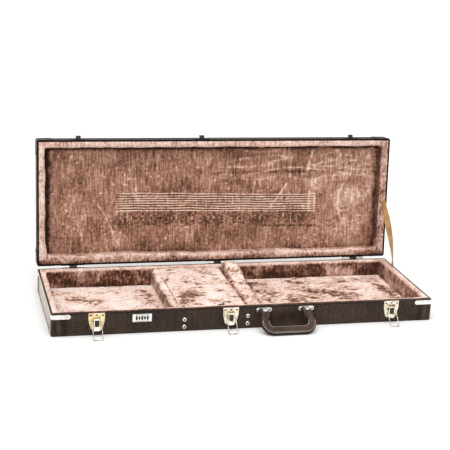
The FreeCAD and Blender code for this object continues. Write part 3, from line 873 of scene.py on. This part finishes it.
def crease_marks(x, s):
    """Creases, the arc pressed in by a round body, and bends near the free edge."""
    wander = x + 0.006 * perlin(s / 0.03, x / 0.2, 43)
    creases = sum(near_line(wander, s, start, end, width) for start, end, width in PANEL_CREASES)
    creases = creases * np.clip(0.7 + 1.1 * perlin(x / 0.012, s / 0.016, 44), 0, 1)
    ring = hump(np.hypot((x - 0.44) / 0.75, s - 0.165), 0.085, 0.004) * smoothstep(0.41, 0.37, x)
    bends = ridges(x / 0.16, s / 0.022, 33, 16) * smoothstep(0.2, 0.26, s)
    return creases, ring, bends * smoothstep(-0.05, 0.1, x)


def edge_tone(x, s):
    """The shade along the walls, less the light patch over the body."""
    edges = smoothstep(0.322, 0.336, s) * 1.35 + smoothstep(0.045, 0.02, s) * 0.25
    edges = edges + smoothstep(-0.478, -0.491, x) * 1.3 + smoothstep(0.478, 0.496, x) * 0.75
    light = hump(x, 0.41, 0.06) * hump(s, 0.17, 0.09) * 0.32 + smoothstep(0.22, 0.34, x) * 0.14
    return edges - light


def pile_tone(x, s):
    """Slow patches, streaks and pale flecks of the pile."""
    flecks = smoothstep(0.26, 0.46, perlin(x / 0.011, s / 0.008, 39)) * 0.8
    flecks = flecks * smoothstep(-0.25, 0.25, perlin(x / 0.09, s / 0.07, 40))
    streaks = perlin(x / 0.0042, s / 0.05, 42) * 0.32
    return perlin(x / 0.12, s / 0.06, 38) * 0.35 + streaks - flecks


def panel_relief(x, s):
    """Height in millimetres and shade of the lid's lining, s being the distance from the hinge."""
    strings, strip = string_marks(x, s)
    creases, ring, bends = crease_marks(x, s)
    bar = near_line(x, s, (0.286, 0.142), (0.286, 0.200), 0.003)
    bar = bar + near_line(x, s, (0.302, 0.143), (0.302, 0.194), 0.0025)
    band = between(s, 0.100, 0.112, 0.141, 0.149) * between(x, -0.31, -0.28, 0.27, 0.34)
    band_grain = 0.5 + 1.8 * perlin(x / 0.006, s / 0.006, 32)
    smudge = near_line(x, s, (0.14, 0.101), (0.33, 0.096), 0.0028)
    smudge = smudge * (0.5 + perlin(x / 0.012, s / 0.01, 34))
    groove = near_line(x, s, (-0.05, 0.258), (0.39, 0.262), 0.003)
    groove = groove * (0.6 + perlin(x / 0.03, s / 0.01, 35))
    height = (
        layered(x, s, 36, (0.13, 0.10, 2.0), (0.035, 0.03, 0.8)) + strings * 0.9 + creases * 1.3
        + ring * 1.1 + bar * 0.8 - band - groove + bends * 0.8
    )
    # partly painted light and shade: paler on the raised string rows, creases, arc, bar and bends, darker in the
    # pressed band and groove, as well as the pressed pile; edge_tone adds painted shade along the walls; the
    # smudge and pile_tone are the pile's own marks
    shade = (
        -strings * 1.4 - strip * 0.12 + band * band_grain * 0.56 - creases * 1.1 - ring * 0.9
        - bar * 1.1 + np.maximum(smudge, 0) * 1.1 + np.maximum(groove, 0) * 0.8 - bends * 0.75
        + edge_tone(x, s) + pile_tone(x, s)
    )
    return height, shade


def make_lid_panel():
    """The crushed plush inside the lid, its net finer where the strings are pressed in."""
    low, high = shut_box("lid_lining_panel")
    near, far = HINGE.y - high.y, HINGE.y - low.y
    s_values = np.concatenate([
        np.arange(near, MARKED_LOW, PANEL_STEP),
        np.arange(MARKED_LOW, MARKED_HIGH, MARKED_STEP),
        np.arange(MARKED_HIGH, far, PANEL_STEP), [far],
    ])
    x_values = np.linspace(low.x, high.x, 331)
    x, s = np.meshgrid(x_values, s_values, indexing="ij")
    height, shade = panel_relief(x, s)
    edge = np.minimum(np.minimum(x - low.x, high.x - x), np.minimum(s - near, far - s))
    height = np.clip(height, -3.0, 3.4) * smoothstep(0.0, 0.012, edge)
    face = np.stack([x, HINGE.y - s, low.z - height * MM], -1).reshape(-1, 3)
    index = np.arange(x.size).reshape(x.shape)
    border = grid_border(index)
    back = face[border].copy()
    back[:, 2] = high.z
    behind = x.size + np.arange(len(border))
    walls = np.stack([border, np.roll(border, -1), np.roll(behind, -1), behind], -1)
    faces = grid_faces(index).tolist() + walls.tolist() + [behind.tolist()]
    piece = new_piece("lid_plush_panel", np.concatenate([face, back]), faces)
    set_shade(piece, np.concatenate([shade.ravel(), np.zeros(len(border))]))
    piece.data.transform(OPEN)
    finish_piece(piece, "plush_lid")
    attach(piece, "lid")
    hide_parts("lid_lining_panel")


# ---------------------------------------------------------------- floor pads and padded blocks

def crumple(piece, size, seed, lift, dark, floor):
    """Wrinkles in the cover: raised folds, painted shade in the creases between them, and dark blotches."""
    co = points_of(piece)
    normals = normals_of(piece)
    x, y = co[:, 0], co[:, 1] + co[:, 2] * 0.7
    broad = size * 2.2
    warp_x = x + perlin(x / broad, y / broad, seed) * size * 0.9
    warp_y = y + perlin(x / broad, y / broad, seed + 1) * size * 0.9
    crease = ridges(warp_x / (size * 1.5), warp_y / (size * 0.62), seed + 2, 15)
    strength = smoothstep(-0.12, 0.32, perlin(x / (size * 3), y / (size * 3), seed + 3))
    folds = perlin(warp_x / size, warp_y / (size * 0.6), seed + 4)
    upward = smoothstep(-0.2, 0.3, normals[:, 2]) * 0.8 + 0.2
    move = (folds * lift - crease * strength * lift * 1.3) * upward
    co = co + normals * (move * MM)[:, None]
    co[:, 2] = np.maximum(co[:, 2], floor)
    set_points(piece, co)
    blotch = smoothstep(0.12, 0.5, perlin(x / (size * 1.4), y / (size * 0.8), seed + 5))
    return crease * strength * dark + blotch * dark * 0.55 - 0.1


# where the pile lies crushed: from, to, width and depth of tone
HEADSTOCK_CRUSH = (
    ((-0.44, 0.06), (-0.38, 0.03), 0.024, 1.4), ((-0.46, -0.04), (-0.40, -0.07), 0.024, 1.3),
    ((-0.23, 0.10), (-0.215, -0.02), 0.014, 1.1), ((-0.49, 0.12), (-0.49, -0.12), 0.010, 1.0),
)
BODY_CRUSH = (
    ((0.080, 0.15), (0.10, -0.10), 0.026, 1.0), ((0.13, 0.02), (0.21, -0.06), 0.030, 1.1),
    ((0.24, 0.03), (0.33, -0.04), 0.022, 1.3), ((0.30, 0.09), (0.20, 0.11), 0.012, 1.0),
    ((0.36, 0.0), (0.42, -0.06), 0.008, 0.8), ((0.45, 0.10), (0.48, -0.10), 0.018, 1.1),
)


def dress_pad(piece, body, node, shade):
    """The shade and finish of a pad that stands for one CAD node, made part of its body, the node hidden."""
    set_shade(piece, shade)
    finish_piece(piece, "plush")
    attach(piece, body)
    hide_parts(node)


def make_floor_pad(node, name, crushed, seed, size, crown, dark, tone):
    """A loose plush pad on the floor: crown is its swelling in millimetres."""
    low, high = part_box(node)
    pad_low = low + Vector((0.5, 0.5, 0.1)) * MM
    pad_high = high - Vector((0.5, 0.5, 0.0)) * MM
    piece = pillow(name, pad_low, pad_high, 5.5 * MM, min(high.z - low.z, 0.006))
    inflate(piece, pressure=3.0, cap=crown, grow=0.015, sideways=0.15)
    hold_inside(piece, low, high + Vector((0, 0, crown * MM)))
    subdivide(piece)
    shade = crumple(piece, size, seed, lift=1.4, dark=dark, floor=low.z) + tone
    hold_inside(piece, low, high + Vector((0, 0, 0.006)))
    x, y, _ = points_of(piece).T
    grain = 0.55 + 1.1 * perlin(x / 0.016, y / 0.011, seed + 9)
    for start, end, width, amount in crushed:
        shade = shade + near_line(x, y, start, end, width) * grain * amount
    dress_pad(piece, "tray", node, shade)


def make_compartment_pad():
    """The padded top of the accessory compartment's lid."""
    node = "compartment_lid_pad"
    low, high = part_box(node)
    board_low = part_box("compartment_lid_board")[0]
    low = Vector((low.x - 0.0032, low.y - 0.0008, board_low.z + 0.0006))
    high = high + Vector((0.0008, 0.0008, 0))
    piece = pillow("compartment_lid_cushion", low, high, 5.0 * MM, 0.0032, waist=0.55)
    inflate(piece, pressure=4.0, cap=4.0, grow=0.01, sideways=0.0)
    hold_inside(piece, low, high + Vector((0, 0, 0.005)))
    subdivide(piece)
    shade = crumple(piece, 0.020, 61, lift=1.1, dark=1.5, floor=low.z)
    hold_inside(piece, low, high + Vector((0, 0, 0.006)))
    x, y, _ = points_of(piece).T
    corner = near_line(x, y, (-0.165, -0.15), (-0.13, -0.06), 0.028)
    seam = near_line(x, y, (-0.15, 0.012), (-0.03, 0.006), 0.0028)
    # border: painted light along the pad's left edge, against the shade in the groove beside the partition
    border = smoothstep(0.006, 0.0, x - low.x)
    shade = shade + corner + seam * 0.7 - border * 0.5 - 0.15
    dress_pad(piece, "compartment_lid", node, shade)


def make_block_pad(node, name, seed, cap, rise, dark, tone, side_shade, front_tone):
    """A padded block: rise lifts its back end, in millimetres, and the tones darken it; side_shade is painted
    shade on its faces turned towards either end of the case.
    """
    low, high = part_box(node)
    piece = copy_of(node, name, 5.0 * MM, 1.6 * MM)
    inflate(piece, pressure=4.0, cap=cap, grow=0.02)
    hold_inside(piece, low, high + Vector((0, 0, 0.003)))
    subdivide(piece)
    shade = crumple(piece, 0.030, seed, lift=2.2, dark=dark, floor=low.z)
    hold_inside(piece, low, high + Vector((0, 0, 0.004)))
    co = points_of(piece)
    shade = shade + front_tone * smoothstep(0.02, -0.12, co[:, 1])
    back_end = smoothstep(0.02, 0.11, co[:, 1]) * smoothstep(low.z + 0.01, high.z, co[:, 2])
    co[:, 2] += back_end * rise * MM
    set_points(piece, co)
    # painted shade on the faces turned towards either end of the case
    sideways = np.abs(normals_of(piece)[:, 0]) ** 1.5
    dress_pad(piece, "tray", node, shade + tone + sideways * side_shade)


# ---------------------------------------------------------------- corner wraps

WRAP_SHEET = 0.8 * MM
WRAP_ARM = 0.044
WRAP_RADIUS = 0.006


def corner_sheet(low_z, high_z, half, sx, sy, seed):
    """One pleated sheet bent round an upright corner, gathered by its tacks."""
    straight = WRAP_ARM - WRAP_RADIUS
    arc = WRAP_RADIUS * math.pi / 2
    marks = np.concatenate([
        np.linspace(0, straight, 26), straight + np.linspace(0, arc, 9)[1:],
        straight + arc + np.linspace(0, straight, 26)[1:],
    ])
    centre = np.array(half) - WRAP_RADIUS
    z = np.linspace(low_z, high_z, 16)
    outer, inner = [], []
    for t in marks:
        angle = math.pi / 2 - np.clip((t - straight) / WRAP_RADIUS, 0, math.pi / 2)
        out = np.array([math.cos(angle), math.sin(angle)])
        foot = centre + out * WRAP_RADIUS
        foot = foot - np.maximum((straight - t, t - straight - arc), 0)
        gather = perlin(np.full_like(z, t / 0.0042), z / 0.05 + 3.0, seed) * 0.55
        gather = gather + perlin(np.full_like(z, t / 0.0016), z / 0.03, seed + 1) * 0.2
        from_end = min(t, marks[-1] - t)
        seams = 0.9 * hump(from_end, 0.004, 0.0011) + 0.8 * hump(from_end, 0.011, 0.0012)
        proud = WRAP_SHEET + np.clip(gather + seams, -0.3, 1.3) * MM
        for height, thick in zip(z, proud):
            for side, reach in ((outer, thick), (inner, 0.05 * MM)):
                x, y = foot + out * reach
                side.append((x * sx, y * sy, height))
    count = len(outer)
    index = np.arange(count).reshape(len(marks), len(z))
    border = grid_border(index)
    after = np.roll(border, -1)
    faces = np.concatenate([
        grid_faces(index), grid_faces(index)[:, ::-1] + count,
        np.stack([after, border, border + count, after + count], -1),
    ])
    return new_piece("sheet", outer + inner, faces.tolist())


def make_corner_wraps(body, box_of, material=None):
    """The gathered leather round the four upright corners of the tray or the lid."""
    node = f"{body}_corner_wraps"
    low, high = box_of(node)
    half = (high.x - WRAP_SHEET, high.y - WRAP_SHEET)
    sheets = []
    for k, (sx, sy, _) in enumerate(QUARTERS):
        sheets.append(corner_sheet(low.z, high.z, half, sx, sy, 70 + k * 3))
    piece = join(f"{body}_corner_leather", sheets)
    co = np.abs(points_of(piece))
    on_long_side = co[:, 1] > half[1] - 0.003
    from_end = np.where(on_long_side, co[:, 0] - half[0], co[:, 1] - half[1]) + WRAP_ARM
    # painted shade in the grooves beside the seam ridges, and painted light and shade in streaks for the gathers'
    # folds
    seams = hump(from_end, 0.0075, 0.0019) + 0.8 * hump(from_end, 0.0148, 0.0015)
    gathers = perlin(from_end / 0.004, co[:, 2] / 0.05, 79) * smoothstep(0.014, 0.02, from_end)
    set_shade(piece, seams * 1.6 + gathers * 0.7)
    if body == "lid":
        piece.data.transform(OPEN)
    finish_piece(piece, "corner_vinyl", material)
    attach(piece, body)
    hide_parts(node)


# ---------------------------------------------------------------- handle

GRIP_HALF_WIDTH = 0.0124
GRIP_HALF_THICKNESS = 0.0068
GRIP_AROUND = 36
# powers of the grip's boxy section at its sides and faces, and where its grooves lie across it
GRIP_SIDE, GRIP_FACE = 0.72, 0.82
GROOVE = 0.74
# the handle's far edge from its pivot, and half its thickness where it lies on the table
HANDLE_REACH = 0.073
HANDLE_REST = 0.007
HANDLE_PIVOT = Vector(JOINTS["handle_pivot"]["pos_m"])


def handle_matrix():
    """From the handle's own plane (across, away from the pivot, up) to where it hangs."""
    droop = math.asin((HANDLE_PIVOT.z - HANDLE_REST) / (HANDLE_REACH - HANDLE_REST))
    return Matrix.Translation(HANDLE_PIVOT) @ Matrix.Rotation(math.pi + droop, 4, "X")


def handle_path():
    """Centre line of the grip in its own plane, with the sideways direction at each point."""
    half, far, start, bend = 0.0632, 0.0605, 0.0105, 0.021
    line = []
    for k in range(26):
        line.append((-half, start + (far - bend - start) * k / 26, math.pi))
    for k in range(22):
        a = math.pi - math.pi / 2 * k / 22
        line.append((-half + bend + bend * math.cos(a), far - bend + bend * math.sin(a), a))
    width = half - bend
    for k in range(25):
        line.append((-width + width * k / 25, far, math.pi / 2))
    mirrored = [(-x, y, math.pi - a) for x, y, a in line[::-1]]
    return line + [(0.0, far, math.pi / 2)] + mirrored


def groove_depth(share):
    """What is left of the grip's thickness at a share of its half width, less at the grooves."""
    return 1 - 0.16 * hump(abs(share), GROOVE, 0.09)


def grip_section(x, y, angle, from_end):
    """One section across the grip: a cushioned oval with a welt on both edges."""
    across = np.array([math.cos(angle), math.sin(angle)])
    neck = smoothstep(0.0, 0.022, from_end)
    wide = GRIP_HALF_WIDTH * (0.74 + 0.26 * neck)
    thick = GRIP_HALF_THICKNESS * (0.66 + 0.34 * neck)
    section = []
    for k in range(GRIP_AROUND):
        u, v = oval(2 * math.pi * k / GRIP_AROUND, GRIP_SIDE, GRIP_FACE)
        height = v * thick * groove_depth(u)
        section.append((x + across[0] * u * wide, y + across[1] * u * wide, height))
    return section


def grip_shade(count):
    """Painted shade along the welts at the grip's edges and in the grooves, for a number of sections."""
    share = np.abs(np.cos(2 * math.pi * np.arange(GRIP_AROUND) / GRIP_AROUND)) ** GRIP_SIDE
    return np.tile(smoothstep(0.80, 0.93, share) + 0.3 * hump(share, GROOVE, 0.06), count)


def make_handle():
    """The padded grip, its stitches and the loops at its ends."""
    path = handle_path()
    lengths = [0.0]
    for (x0, y0, _), (x1, y1, _) in zip(path, path[1:]):
        lengths.append(lengths[-1] + math.hypot(x1 - x0, y1 - y0))
    sections = []
    for (x, y, angle), run in zip(path, lengths):
        sections.append(grip_section(x, y, angle, min(run, lengths[-1] - run)))
    grip = tube("handle_padded_grip", sections)
    co = points_of(grip)
    dents = perlin(co[:, 0] / 0.02, co[:, 1] / 0.02, 91) * 0.35
    set_points(grip, co + normals_of(grip) * (dents * MM)[:, None])
    set_shade(grip, grip_shade(len(sections)))
    place = handle_matrix()
    grip.data.transform(place)
    finish_piece(grip, "handle_leather")
    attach(grip, "handle")
    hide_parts("handle_grip", "handle_core")
    make_handle_stitches(path, lengths, place)
    make_handle_ends(place)


STITCH_ROWS = (-GROOVE, 0.58, GROOVE)
STITCH_START = 0.024
STITCH_PITCH = 0.0046
STITCH_LENGTH = 0.0042
STITCH_RADIUS = 0.00095
# along a stitch: share of its half length, share of its radius, and how far it stands up
STITCH_SHAPE = ((-1, 0.25, -0.6), (-0.6, 0.9, 0.1), (0, 1, 0.35), (0.6, 0.9, 0.1), (1, 0.25, -0.6))
STITCH_AROUND = 6


def stitch(centre, direction, up):
    """The points of a short thread sunk at both ends: a six-sided spindle."""
    side = direction.cross(up).normalized()
    points = []
    for share, fat, lift in STITCH_SHAPE:
        middle = centre + direction * (share * STITCH_LENGTH / 2) + up * (lift * STITCH_RADIUS)
        for k in range(STITCH_AROUND):
            a = 2 * math.pi * k / STITCH_AROUND
            points.append(middle + (side * math.cos(a) + up * math.sin(a)) * STITCH_RADIUS * fat)
    return points


def make_handle_stitches(path, lengths, place):
    """Rows of stitches on both faces: one in the inner groove and two at the outer one."""
    points, faces = [], []
    spindle = tube_faces(len(STITCH_SHAPE), STITCH_AROUND)
    xs, ys, _ = np.array(path).T
    for row in STITCH_ROWS:
        lean = math.acos(abs(row) ** (1 / GRIP_SIDE))
        surface = GRIP_HALF_THICKNESS * math.sin(lean) ** GRIP_FACE * groove_depth(row) + 0.0003
        for face in (-1, 1):
            run = STITCH_START
            while run < lengths[-1] - STITCH_START:
                x = np.interp([run - 0.001, run, run + 0.001], lengths, xs)
                y = np.interp([run - 0.001, run, run + 0.001], lengths, ys)
                direction = Vector((x[2] - x[0], y[2] - y[0], 0)).normalized()
                across = Vector((-direction.y, direction.x, 0))
                centre = Vector((x[1], y[1], surface * face)) + across * (row * GRIP_HALF_WIDTH)
                faces += [[len(points) + v for v in corners] for corners in spindle]
                points += stitch(centre, direction, Vector((0, 0, face)))
                run += STITCH_PITCH
    piece = new_piece("handle_stitches", points, faces)
    piece.data.transform(place)
    finish_piece(piece, "handle_leather", thread("handle_thread", (0.46, 0.37, 0.30)))
    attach(piece, "handle")


def make_handle_ends(place):
    """The leather turned round each ring and stitched down: a flat loop at each arm's end."""
    loops = []
    for x in (-0.0612, 0.0612):
        sections = []
        for t in np.linspace(0, 1, 13):
            y = 0.0060 + 0.0245 * t
            wide = 0.0086 + 0.0016 * math.sin(math.pi * t)
            thick = 0.0042 + 0.0022 * math.sin(math.pi * min(1, t * 1.4))
            section = []
            for a in np.linspace(0, 2 * math.pi, 20, endpoint=False):
                u, v = oval(a, 0.5, 0.7)
                section.append((x + u * wide, y, v * thick))
            sections.append(section)
        loops.append(tube("loop", sections))
    piece = join("handle_ring_loops", loops)
    piece.data.transform(place)
    finish_piece(piece, "handle_leather")
    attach(piece, "handle")


# ---------------------------------------------------------------- stay strap

STRAP_HALF_THICKNESS = 0.001
STRAP_BOW = 0.0012
# where the strap's edges enter the lid's rim: x and distance from the hinge, at one height
STRAP_HEADS = ((0.5035, 0.160), (0.5145, 0.176))
STRAP_HEAD_Z = 0.0618
# points of the strap's two edges between the tray's rim and the lid
STRAP_FRONT = ((0.506, 0.095, 0.103), (0.496, 0.108, 0.146), (0.4905, 0.130, 0.186))
STRAP_REAR = ((0.521, 0.117, 0.103), (0.517, 0.128, 0.156), (0.5120, 0.150, 0.200))


def strap_section(a, b, tangent):
    """A thin bowed strip from edge a to edge b."""
    normal = np.cross(b - a, tangent)
    normal = normal / np.linalg.norm(normal)
    middle = (a + b) / 2
    shares = np.linspace(-1, 1, 9)
    section = []
    for side, order in ((1, shares), (-1, shares[::-1])):
        for u in order:
            rise = STRAP_HALF_THICKNESS * (1 - 0.45 * u ** 8) * side + (1 - u * u) * STRAP_BOW
            section.append(middle + (b - a) * (u / 2) + normal * rise)
    return section


def make_strap():
    """A leather strip that leaves the tray's rim on edge, turns, and goes into the lid's rim."""
    z_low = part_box("stay_strap")[0].z + 0.0002
    head = [OPEN @ Vector((x, HINGE.y - reach, STRAP_HEAD_Z)) for x, reach in STRAP_HEADS]
    front_edge = smooth_line([(0.5115, 0.084, z_low), *STRAP_FRONT, head[0]], 3)
    rear_edge = smooth_line([(0.5160, 0.110, z_low), *STRAP_REAR, head[1]], 3)
    both = front_edge + rear_edge
    last = len(both) - 1
    sections = []
    for i, (a, b) in enumerate(zip(front_edge, rear_edge)):
        sections.append(strap_section(a, b, both[min(last, i + 1)] - both[max(0, i - 1)]))
    piece = tube("stay_strap_leather", sections)
    finish_piece(piece, "strap_leather")
    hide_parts("stay_strap")
    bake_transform(piece)


# ---------------------------------------------------------------- nameplate, rivets, latches, welt

def make_nameplate_mark():
    """A row of plain lozenges between two lines, in place of any lettering."""
    low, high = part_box("nameplate")
    middle = (low + high) / 2
    shapes = []

    def raised(outline):
        top = [(x, low.y - 0.00025, z) for x, z in outline]
        under = [(x, low.y + 0.0002, z) for x, z in outline]
        shapes.append(tube("mark", [under, top]))

    half = 0.0030
    for k in range(-2, 3):
        x = middle.x + k * 0.0072
        tall = 0.0062 if k % 2 == 0 else 0.0048
        corners = ((-1, 0), (-0.5, -1), (0.5, -1), (1, 0), (0.5, 1), (-0.5, 1))
        raised([(x + across * half, middle.z + up * tall) for across, up in corners])
    for dz in (-0.0088, 0.0088):
        x0, x1 = low.x + 0.007, high.x - 0.007
        z0, z1 = middle.z + dz - 0.0004, middle.z + dz + 0.0004
        raised([(x0, z0), (x1, z0), (x1, z1), (x0, z1)])
    piece = join("nameplate_border", shapes)
    piece.data.shade_flat()
    ink = enamel("mark_enamel", (0.012, 0.011, 0.010), (0.03, 0.026, 0.022))
    finish_piece(piece, "dark_metal", ink)
    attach(piece, "tray")


PLATE_THICKNESS = 0.0014
RIVET_HEAD = 0.0016
RIVET_ASIDE = 0.0155
LEVER_STAND = 0.0092
# the dish of a hollow rivet, from its rim in: radius and height
DISH = ((0.0023, -0.0004), (0.0024, 0.00022), (0.0018, 0.0003), (0.0010, 0.00012))
# outline of the painted shadow in a latch lever's web, as (across, up) in millimetres
SHADOW_OUTLINE = ((-6.0, 42.5), (-6.0, 27.5), (-4.4, 25.5), (4.4, 25.5), (6.0, 27.5), (6.0, 42.5))


def middle_x(node):
    low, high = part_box(node)
    return (low.x + high.x) / 2


def plate_rivets():
    """Places of the rivets in the latch plates and the handle's brackets."""
    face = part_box("tray_side_cover")[0].y - PLATE_THICKNESS - RIVET_HEAD
    spots = []
    for side in LATCHES:
        x = middle_x(f"latch_plate_{side}")
        spots += [(x - RIVET_ASIDE, 0.0545), (x + RIVET_ASIDE, 0.0545), (x, 0.0555)]
    low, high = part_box("handle_brackets")
    for x in (low.x + 0.021, high.x - 0.021):
        spots += [(x - RIVET_ASIDE, 0.050), (x + RIVET_ASIDE, 0.050)]
    return [(x, face, z) for x, z in spots]


def eyelets():
    """Places of the partitions' hollow rivets, on the front wall and on the back one."""
    mesh = frame["nodes"]["partition_eyelets"].data
    co = np.array([v.co for v in mesh.vertices])
    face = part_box("partition_eyelets")[0].y
    x, y, z = co.T
    between_pairs = (x.min() + x.max()) / 2
    spots = []
    for near in ((y < 0) & (x < between_pairs), (y < 0) & (x >= between_pairs)):
        centre = (x[near].min() + x[near].max()) / 2
        radius = (x[near].max() - x[near].min()) / 2
        for height in (z[near].min() + radius, z[near].max() - radius):
            spots += [(centre, face, height), (centre, -face, height)]
    return spots


def make_rivet_hollows():
    """The hollow in each tubular rivet of the latches, the handle brackets and the partitions, painted black as
    painted shade.
    """
    dishes = []
    for spots, size in ((plate_rivets(), 1.0), (eyelets(), 1.2)):
        for x, y, z in spots:
            out = math.copysign(1.0, y)
            rings = []
            for radius, depth in DISH:
                rings.append([
                    (x + size * radius * math.cos(a), y + out * depth, z + size * radius * math.sin(a))
                    for a in np.linspace(0, 2 * math.pi, 16, endpoint=False)
                ])
            dishes.append(tube("dish", rings))
    piece = join("rivet_hollows", dishes)
    finish_piece(piece, "dark_metal", FINISHES["hollow"])
    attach(piece, "tray")


def make_latch_shadows():
    """A black sheet in the web of each latch lever: painted shadow in its recess."""
    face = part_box("tray_side_cover")[0].y - LEVER_STAND
    for side in LATCHES:
        middle = middle_x(f"latch_lever_{side}")
        rings = []
        for depth, share in ((-0.0003, 1.0), (0.00018, 1.0), (0.00026, 0.92)):
            rings.append([(middle + x * share * MM, face - depth, z * MM) for x, z in SHADOW_OUTLINE])
        piece = tube(f"latch_shadow_{side}", rings)
        piece.data.shade_flat()
        finish_piece(piece, "dark_metal", FINISHES["hollow"])
        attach(piece, f"latch_lever_{side}")


def make_piping():
    """A thin welt round the foot of the tray, where the covering of the sides meets the base."""
    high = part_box("tray_base_cover")[1]
    radius = 0.0012
    corner = 0.006
    around = 10
    points = []
    for sx, sy, turn in QUARTERS:
        for k in range(9):
            angle = math.pi * (turn + k / 16)
            for a in np.linspace(0, 2 * math.pi, around, endpoint=False):
                reach = corner + 0.9 * radius * math.cos(a)
                points.append((
                    sx * (high.x - corner) + reach * math.cos(angle),
                    sy * (high.y - corner) + reach * math.sin(angle),
                    0.0030 + radius * math.sin(a),
                ))
    piece = new_piece("tray_foot_welt", points, loop_faces(len(points) // around, around))
    finish_piece(piece, "corner_vinyl")
    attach(piece, "tray")


# ---------------------------------------------------------------- stage

def make_stage():
    """A white floor, an even sky and one soft lamp, as in a studio."""
    reach = 60
    floor = new_piece(
        "floor", [(-reach, -reach, 0), (reach, -reach, 0), (reach, reach, 0), (-reach, reach, 0)],
        [(0, 1, 2, 3)],
    )
    floor.location.z = -0.0006
    paper = Finish("floor_paper", roughness=0.95)
    fibre = paper.noise(3.0, 4.0)
    paper.set("Base Color", paper.ramp(fibre, [(0.3, (0.93, 0.93, 0.93)), (0.7, (0.96, 0.96, 0.96))]))
    paper.set("Specular IOR Level", 0.1)
    floor.data.materials.append(paper.material)

    world = bpy.data.worlds.new("studio")
    world.use_nodes = True
    background = next(n for n in world.node_tree.nodes if n.type == "BACKGROUND")
    background.inputs["Color"].default_value = (1.0, 0.99, 0.975, 1.0)
    background.inputs["Strength"].default_value = 0.75
    bpy.context.scene.world = world

    lamp = bpy.data.lights.new("softbox", "SUN")
    lamp.energy = 1.75
    lamp.angle = math.radians(60)
    lamp.color = (1.0, 0.985, 0.965)
    light = new_object("softbox", lamp)
    light.rotation_mode = "QUATERNION"
    light.rotation_quaternion = Vector((0.16, 0.22, -1.0)).to_track_quat("-Z", "Y")


# the photograph's camera, solved from the corners of the tray and the lid
CAMERA_PLACE = (-0.82415, -2.96365, 1.15013)
CAMERA_RIGHT = Vector((0.96858, -0.24336, 0.05126))
CAMERA_UP = Vector((0.02237, 0.29053, 0.95661))
LENS_MM = 93.976


def make_camera():
    data = bpy.data.cameras.new("camera")
    data.lens = LENS_MM
    data.sensor_width = 36.0
    data.clip_start = 0.1
    data.clip_end = 400.0
    camera = new_object("camera", data)
    back = CAMERA_RIGHT.cross(CAMERA_UP)
    turn = Matrix((CAMERA_RIGHT, CAMERA_UP, back)).transposed().to_4x4()
    camera.matrix_world = Matrix.Translation(CAMERA_PLACE) @ turn
    bpy.context.scene.camera = camera


def main():
    scene = bpy.context.scene
    scene.view_settings.view_transform = "Standard"
    make_camera()
    make_stage()
    finish_cad_nodes()
    make_tray_lining()
    make_lid_lining()
    make_lid_panel()
    make_floor_pad(
        "headstock_floor_pad", "headstock_floor_cushion", HEADSTOCK_CRUSH,
        seed=41, size=0.040, crown=2.5, dark=0.75, tone=-0.24,
    )
    make_floor_pad(
        "body_floor_pad", "body_floor_cushion", BODY_CRUSH,
        seed=51, size=0.034, crown=4.0, dark=1.15, tone=-0.03,
    )
    make_compartment_pad()
    make_block_pad(
        "neck_cradle", "neck_cradle_cushion",
        seed=81, cap=5.0, rise=4.5, dark=0.65, tone=-0.16, side_shade=1.1, front_tone=0.35,
    )
    make_block_pad(
        "partition_pad", "partition_cushion",
        seed=86, cap=4.0, rise=0.0, dark=0.9, tone=-0.36, side_shade=1.0, front_tone=0.45,
    )
    make_corner_wraps("tray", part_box)
    lid_corner = vinyl("vinyl_lid_corner", LID_UP, LID_BASE, LID_EDGES, gloss=0.1, pleats=True)
    make_corner_wraps("lid", shut_box, lid_corner)
    make_handle()
    make_strap()
    make_nameplate_mark()
    make_rivet_hollows()
    make_latch_shadows()
    make_piping()


main()
